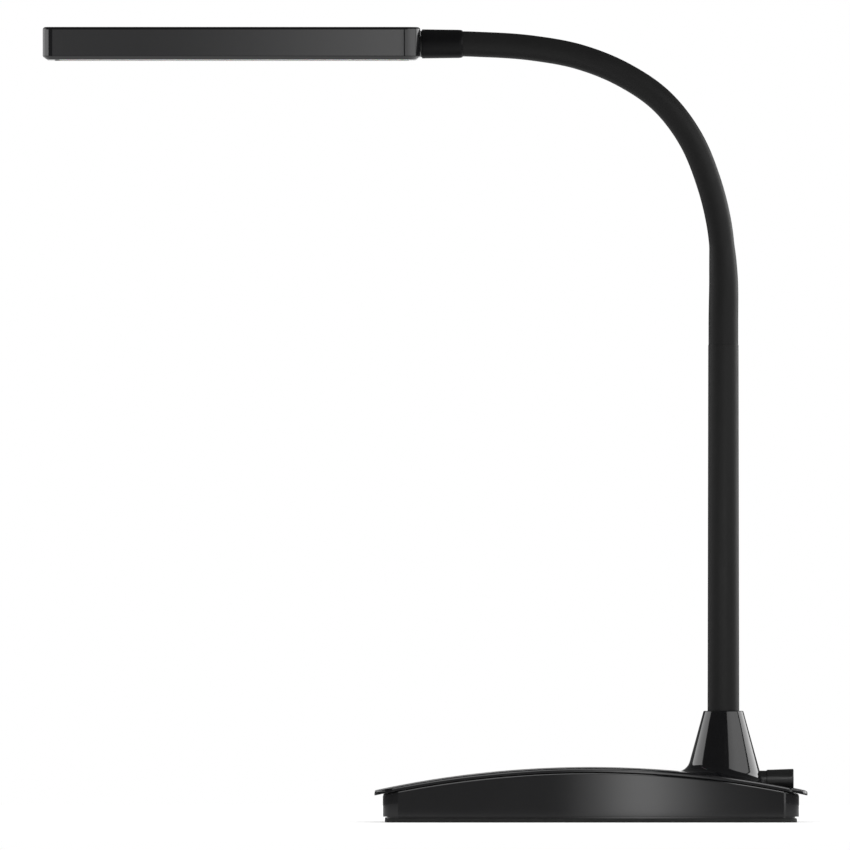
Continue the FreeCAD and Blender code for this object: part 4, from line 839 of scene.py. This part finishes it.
def emission(name, strength, fade=None):
    """A softbox's face. fade gives brightness steps along its width as (place, share)."""
    made = bpy.data.materials.new(name)
    made.use_nodes = True
    tree = made.node_tree
    tree.nodes.clear()
    out = add(tree, "ShaderNodeOutputMaterial")
    glow = add(tree, "ShaderNodeEmission", {"Color": linear("#ffffff"), "Strength": strength})
    if fade:
        where = add(tree, "ShaderNodeTexCoord").outputs["Generated"]
        split = add(tree, "ShaderNodeSeparateXYZ", links={"Vector": where})
        ramp = add(tree, "ShaderNodeValToRGB", links={"Fac": split.outputs["X"]})
        ramp.color_ramp.interpolation = "CARDINAL"
        stops = ramp.color_ramp.elements
        while len(stops) < len(fade):
            stops.new(0.5)
        for stop, (place, share) in zip(stops, fade):
            stop.position = place
            stop.color = (share, share, share, 1.0)
        tree.links.new(ramp.outputs["Color"], glow.inputs["Color"])
    tree.links.new(glow.outputs["Emission"], out.inputs["Surface"])
    return made


def softbox(name, corner, along, up, strength, fade=None, glossy_only=False):
    """A glowing rectangle from one corner along two sides, in metres."""
    a, u, v = Vector(corner), Vector(along), Vector(up)
    mesh = bpy.data.meshes.new(name)
    mesh.from_pydata([a, a + u, a + u + v, a + v], [], [(0, 1, 2, 3)])
    mesh.materials.append(emission(name + "_face", strength, fade=fade))
    made = bpy.data.objects.new(name, mesh)
    bpy.context.scene.collection.objects.link(made)
    made.visible_camera = False
    made.visible_shadow = False
    made.visible_transmission = False
    if glossy_only:
        made.visible_diffuse = False


softbox("softbox_left", (-1.25, -0.18, 0.3), (0, 1.4, 0), (0, 0, 0.62), 2.4)
softbox("softbox_left_low", (-1.25, -0.92, 0.3), (0, 0.74, 0), (0, 0, 0.12), 2.8)
softbox("softbox_right", (1.25, 0.2, 0.1), (0, 1.5, 0), (0, 0, 0.85), 3.5)
softbox("softbox_front_right", (0.48, -1.12, 0.3), (0.78, 1.18, 0), (0, 0, 0.65), 2.2,
        fade=FRONT_RIGHT_FADE)
softbox("strip_front_right", (0.12, -1.25, 0.0), (0.36, 0.13, 0), (0, 0, 0.41), 1.6)
softbox("card_head", (-0.29, -1.2, 0.28), (0.235, 0, 0), (0, 0, 0.15), 2.2, fade=HEAD_FADE, glossy_only=True)
softbox("card_base", (-0.115, -0.25, 0.0), (0.23, 0, 0), (0, 0, 0.068), 2.6, fade=BASE_FADE,
        glossy_only=True)
softbox("strip_base_left", (-0.13, -0.25, 0.09), (0.166, 0, 0), (0, 0, 0.04), 3.0, glossy_only=True)
softbox("strip_base_right", (0.078, -0.25, 0.09), (0.05, 0, 0), (0, 0, 0.065), 4.5, glossy_only=True)

floor_mesh = bpy.data.meshes.new("floor")
floor_turns = [2 * math.pi * i / FLOOR_SIDES for i in range(FLOOR_SIDES)]
floor_rim = [(FLOOR_RADIUS * math.cos(t), FLOOR_RADIUS * math.sin(t), FLOOR_Z) for t in floor_turns]
floor_mesh.from_pydata(floor_rim, [], [tuple(range(FLOOR_SIDES))])
floor = bpy.data.objects.new("floor", floor_mesh)
bpy.context.scene.collection.objects.link(floor)
floor_paint = bpy.data.materials.new("paper_matt_white")
floor_paint.use_nodes = True
tree = floor_paint.node_tree
tree.nodes.clear()
where = add(tree, "ShaderNodeTexCoord").outputs["Object"]
away = add(tree, "ShaderNodeVectorMath", links={0: where}, operation="LENGTH")
far = add(tree, "ShaderNodeMapRange", {"From Min": 0.45, "From Max": 1.1, "To Min": 0.42, "To Max": 1.0},
          {"Value": away.outputs["Value"]})
paper = add(tree, "ShaderNodeBsdfDiffuse", {"Color": linear("#d4d4d4")})
to_camera = add(tree, "ShaderNodeMath", links={0: far.outputs["Result"],
                                               1: add(tree, "ShaderNodeLightPath").outputs["Is Camera Ray"]},
                operation="MULTIPLY")
lift = add(tree, "ShaderNodeEmission", links={"Strength": to_camera.outputs["Value"]})
both = add(tree, "ShaderNodeAddShader")
tree.links.new(paper.outputs["BSDF"], both.inputs[0])
tree.links.new(lift.outputs["Emission"], both.inputs[1])
add(tree, "ShaderNodeOutputMaterial", links={"Surface": both.outputs["Shader"]})
floor_mesh.materials.append(floor_paint)

# Surroundings: white to the camera, plain and even on matt surfaces, and to glossy ones a dark studio with
# a white screen behind the lamp, above a dark skirting
world = bpy.data.worlds.new("studio")
bpy.context.scene.world = world
world.use_nodes = True
world.cycles.sampling_method = "NONE"
tree = world.node_tree
tree.nodes.clear()
direction = add(tree, "ShaderNodeTexCoord").outputs["Generated"]
parts = add(tree, "ShaderNodeSeparateXYZ", links={"Vector": direction})
behind = add(tree, "ShaderNodeMapRange",
             {"From Min": SCREEN_SIDE[0], "From Max": SCREEN_SIDE[1], "To Min": 0.0, "To Max": 1.0},
             {"Value": parts.outputs["Y"]})
under = add(tree, "ShaderNodeMapRange",
            {"From Min": SCREEN_TOP[0], "From Max": SCREEN_TOP[1], "To Min": 1.0, "To Max": 0.0},
            {"Value": parts.outputs["Z"]})
lit_part = add(tree, "ShaderNodeMath", links={0: behind.outputs["Result"], 1: under.outputs["Result"]},
               operation="MULTIPLY")
skirting = add(tree, "ShaderNodeMath", {1: SKIRTING_MIDDLE, 2: SKIRTING_HALF_HEIGHT},
               {0: parts.outputs["Z"]}, operation="COMPARE")
screen = add(tree, "ShaderNodeMath", links={0: lit_part.outputs["Value"], 1: skirting.outputs["Value"]},
             operation="SUBTRACT")
gloom = add(tree, "ShaderNodeMapRange",
            {"From Min": GLOOM_HEIGHTS[0], "From Max": GLOOM_HEIGHTS[1],
             "To Min": GLOOM_LEVELS[0], "To Max": GLOOM_LEVELS[1]},
            {"Value": parts.outputs["Z"]})
reflected = add(tree, "ShaderNodeMath", links={0: screen.outputs["Value"], 1: gloom.outputs["Result"]},
                operation="MAXIMUM")
rays = add(tree, "ShaderNodeLightPath")
seen = add(tree, "ShaderNodeMath", operation="MAXIMUM",
           links={0: rays.outputs["Is Camera Ray"], 1: rays.outputs["Is Transmission Ray"]})
lit = add(tree, "ShaderNodeMix", {"A": PLAIN_LEVEL},
          {"Factor": rays.outputs["Is Glossy Ray"], "B": reflected.outputs["Value"]}, data_type="FLOAT")
shown = add(tree, "ShaderNodeMath", operation="MAXIMUM",
            links={0: lit.outputs["Result"], 1: seen.outputs["Value"]})
backdrop = add(tree, "ShaderNodeBackground", {"Strength": 1.0}, {"Color": shown.outputs["Value"]})
add(tree, "ShaderNodeOutputWorld", links={"Surface": backdrop.outputs["Background"]})

# Camera: far off with a long lens, level with the lamp and square to its side
camera_data = bpy.data.cameras.new("camera")
camera = bpy.data.objects.new("camera", camera_data)
bpy.context.scene.collection.objects.link(camera)
bpy.context.scene.camera = camera
aim = Vector((VIEW_X, 0, VIEW_Z)) * MM
back = Vector((0, -math.cos(CAMERA_RISE), math.sin(CAMERA_RISE)))
camera.location = aim + back * CAMERA_DISTANCE * MM
camera.rotation_mode = "QUATERNION"
camera.rotation_quaternion = (-back).to_track_quat("-Z", "Y")
camera_data.lens = camera_data.sensor_width * CAMERA_DISTANCE / (MM_PER_PIXEL * PHOTO_PIXELS)
camera_data.clip_start = 0.5
camera_data.clip_end = 100.0
bpy.context.scene.view_settings.view_transform = "Standard"
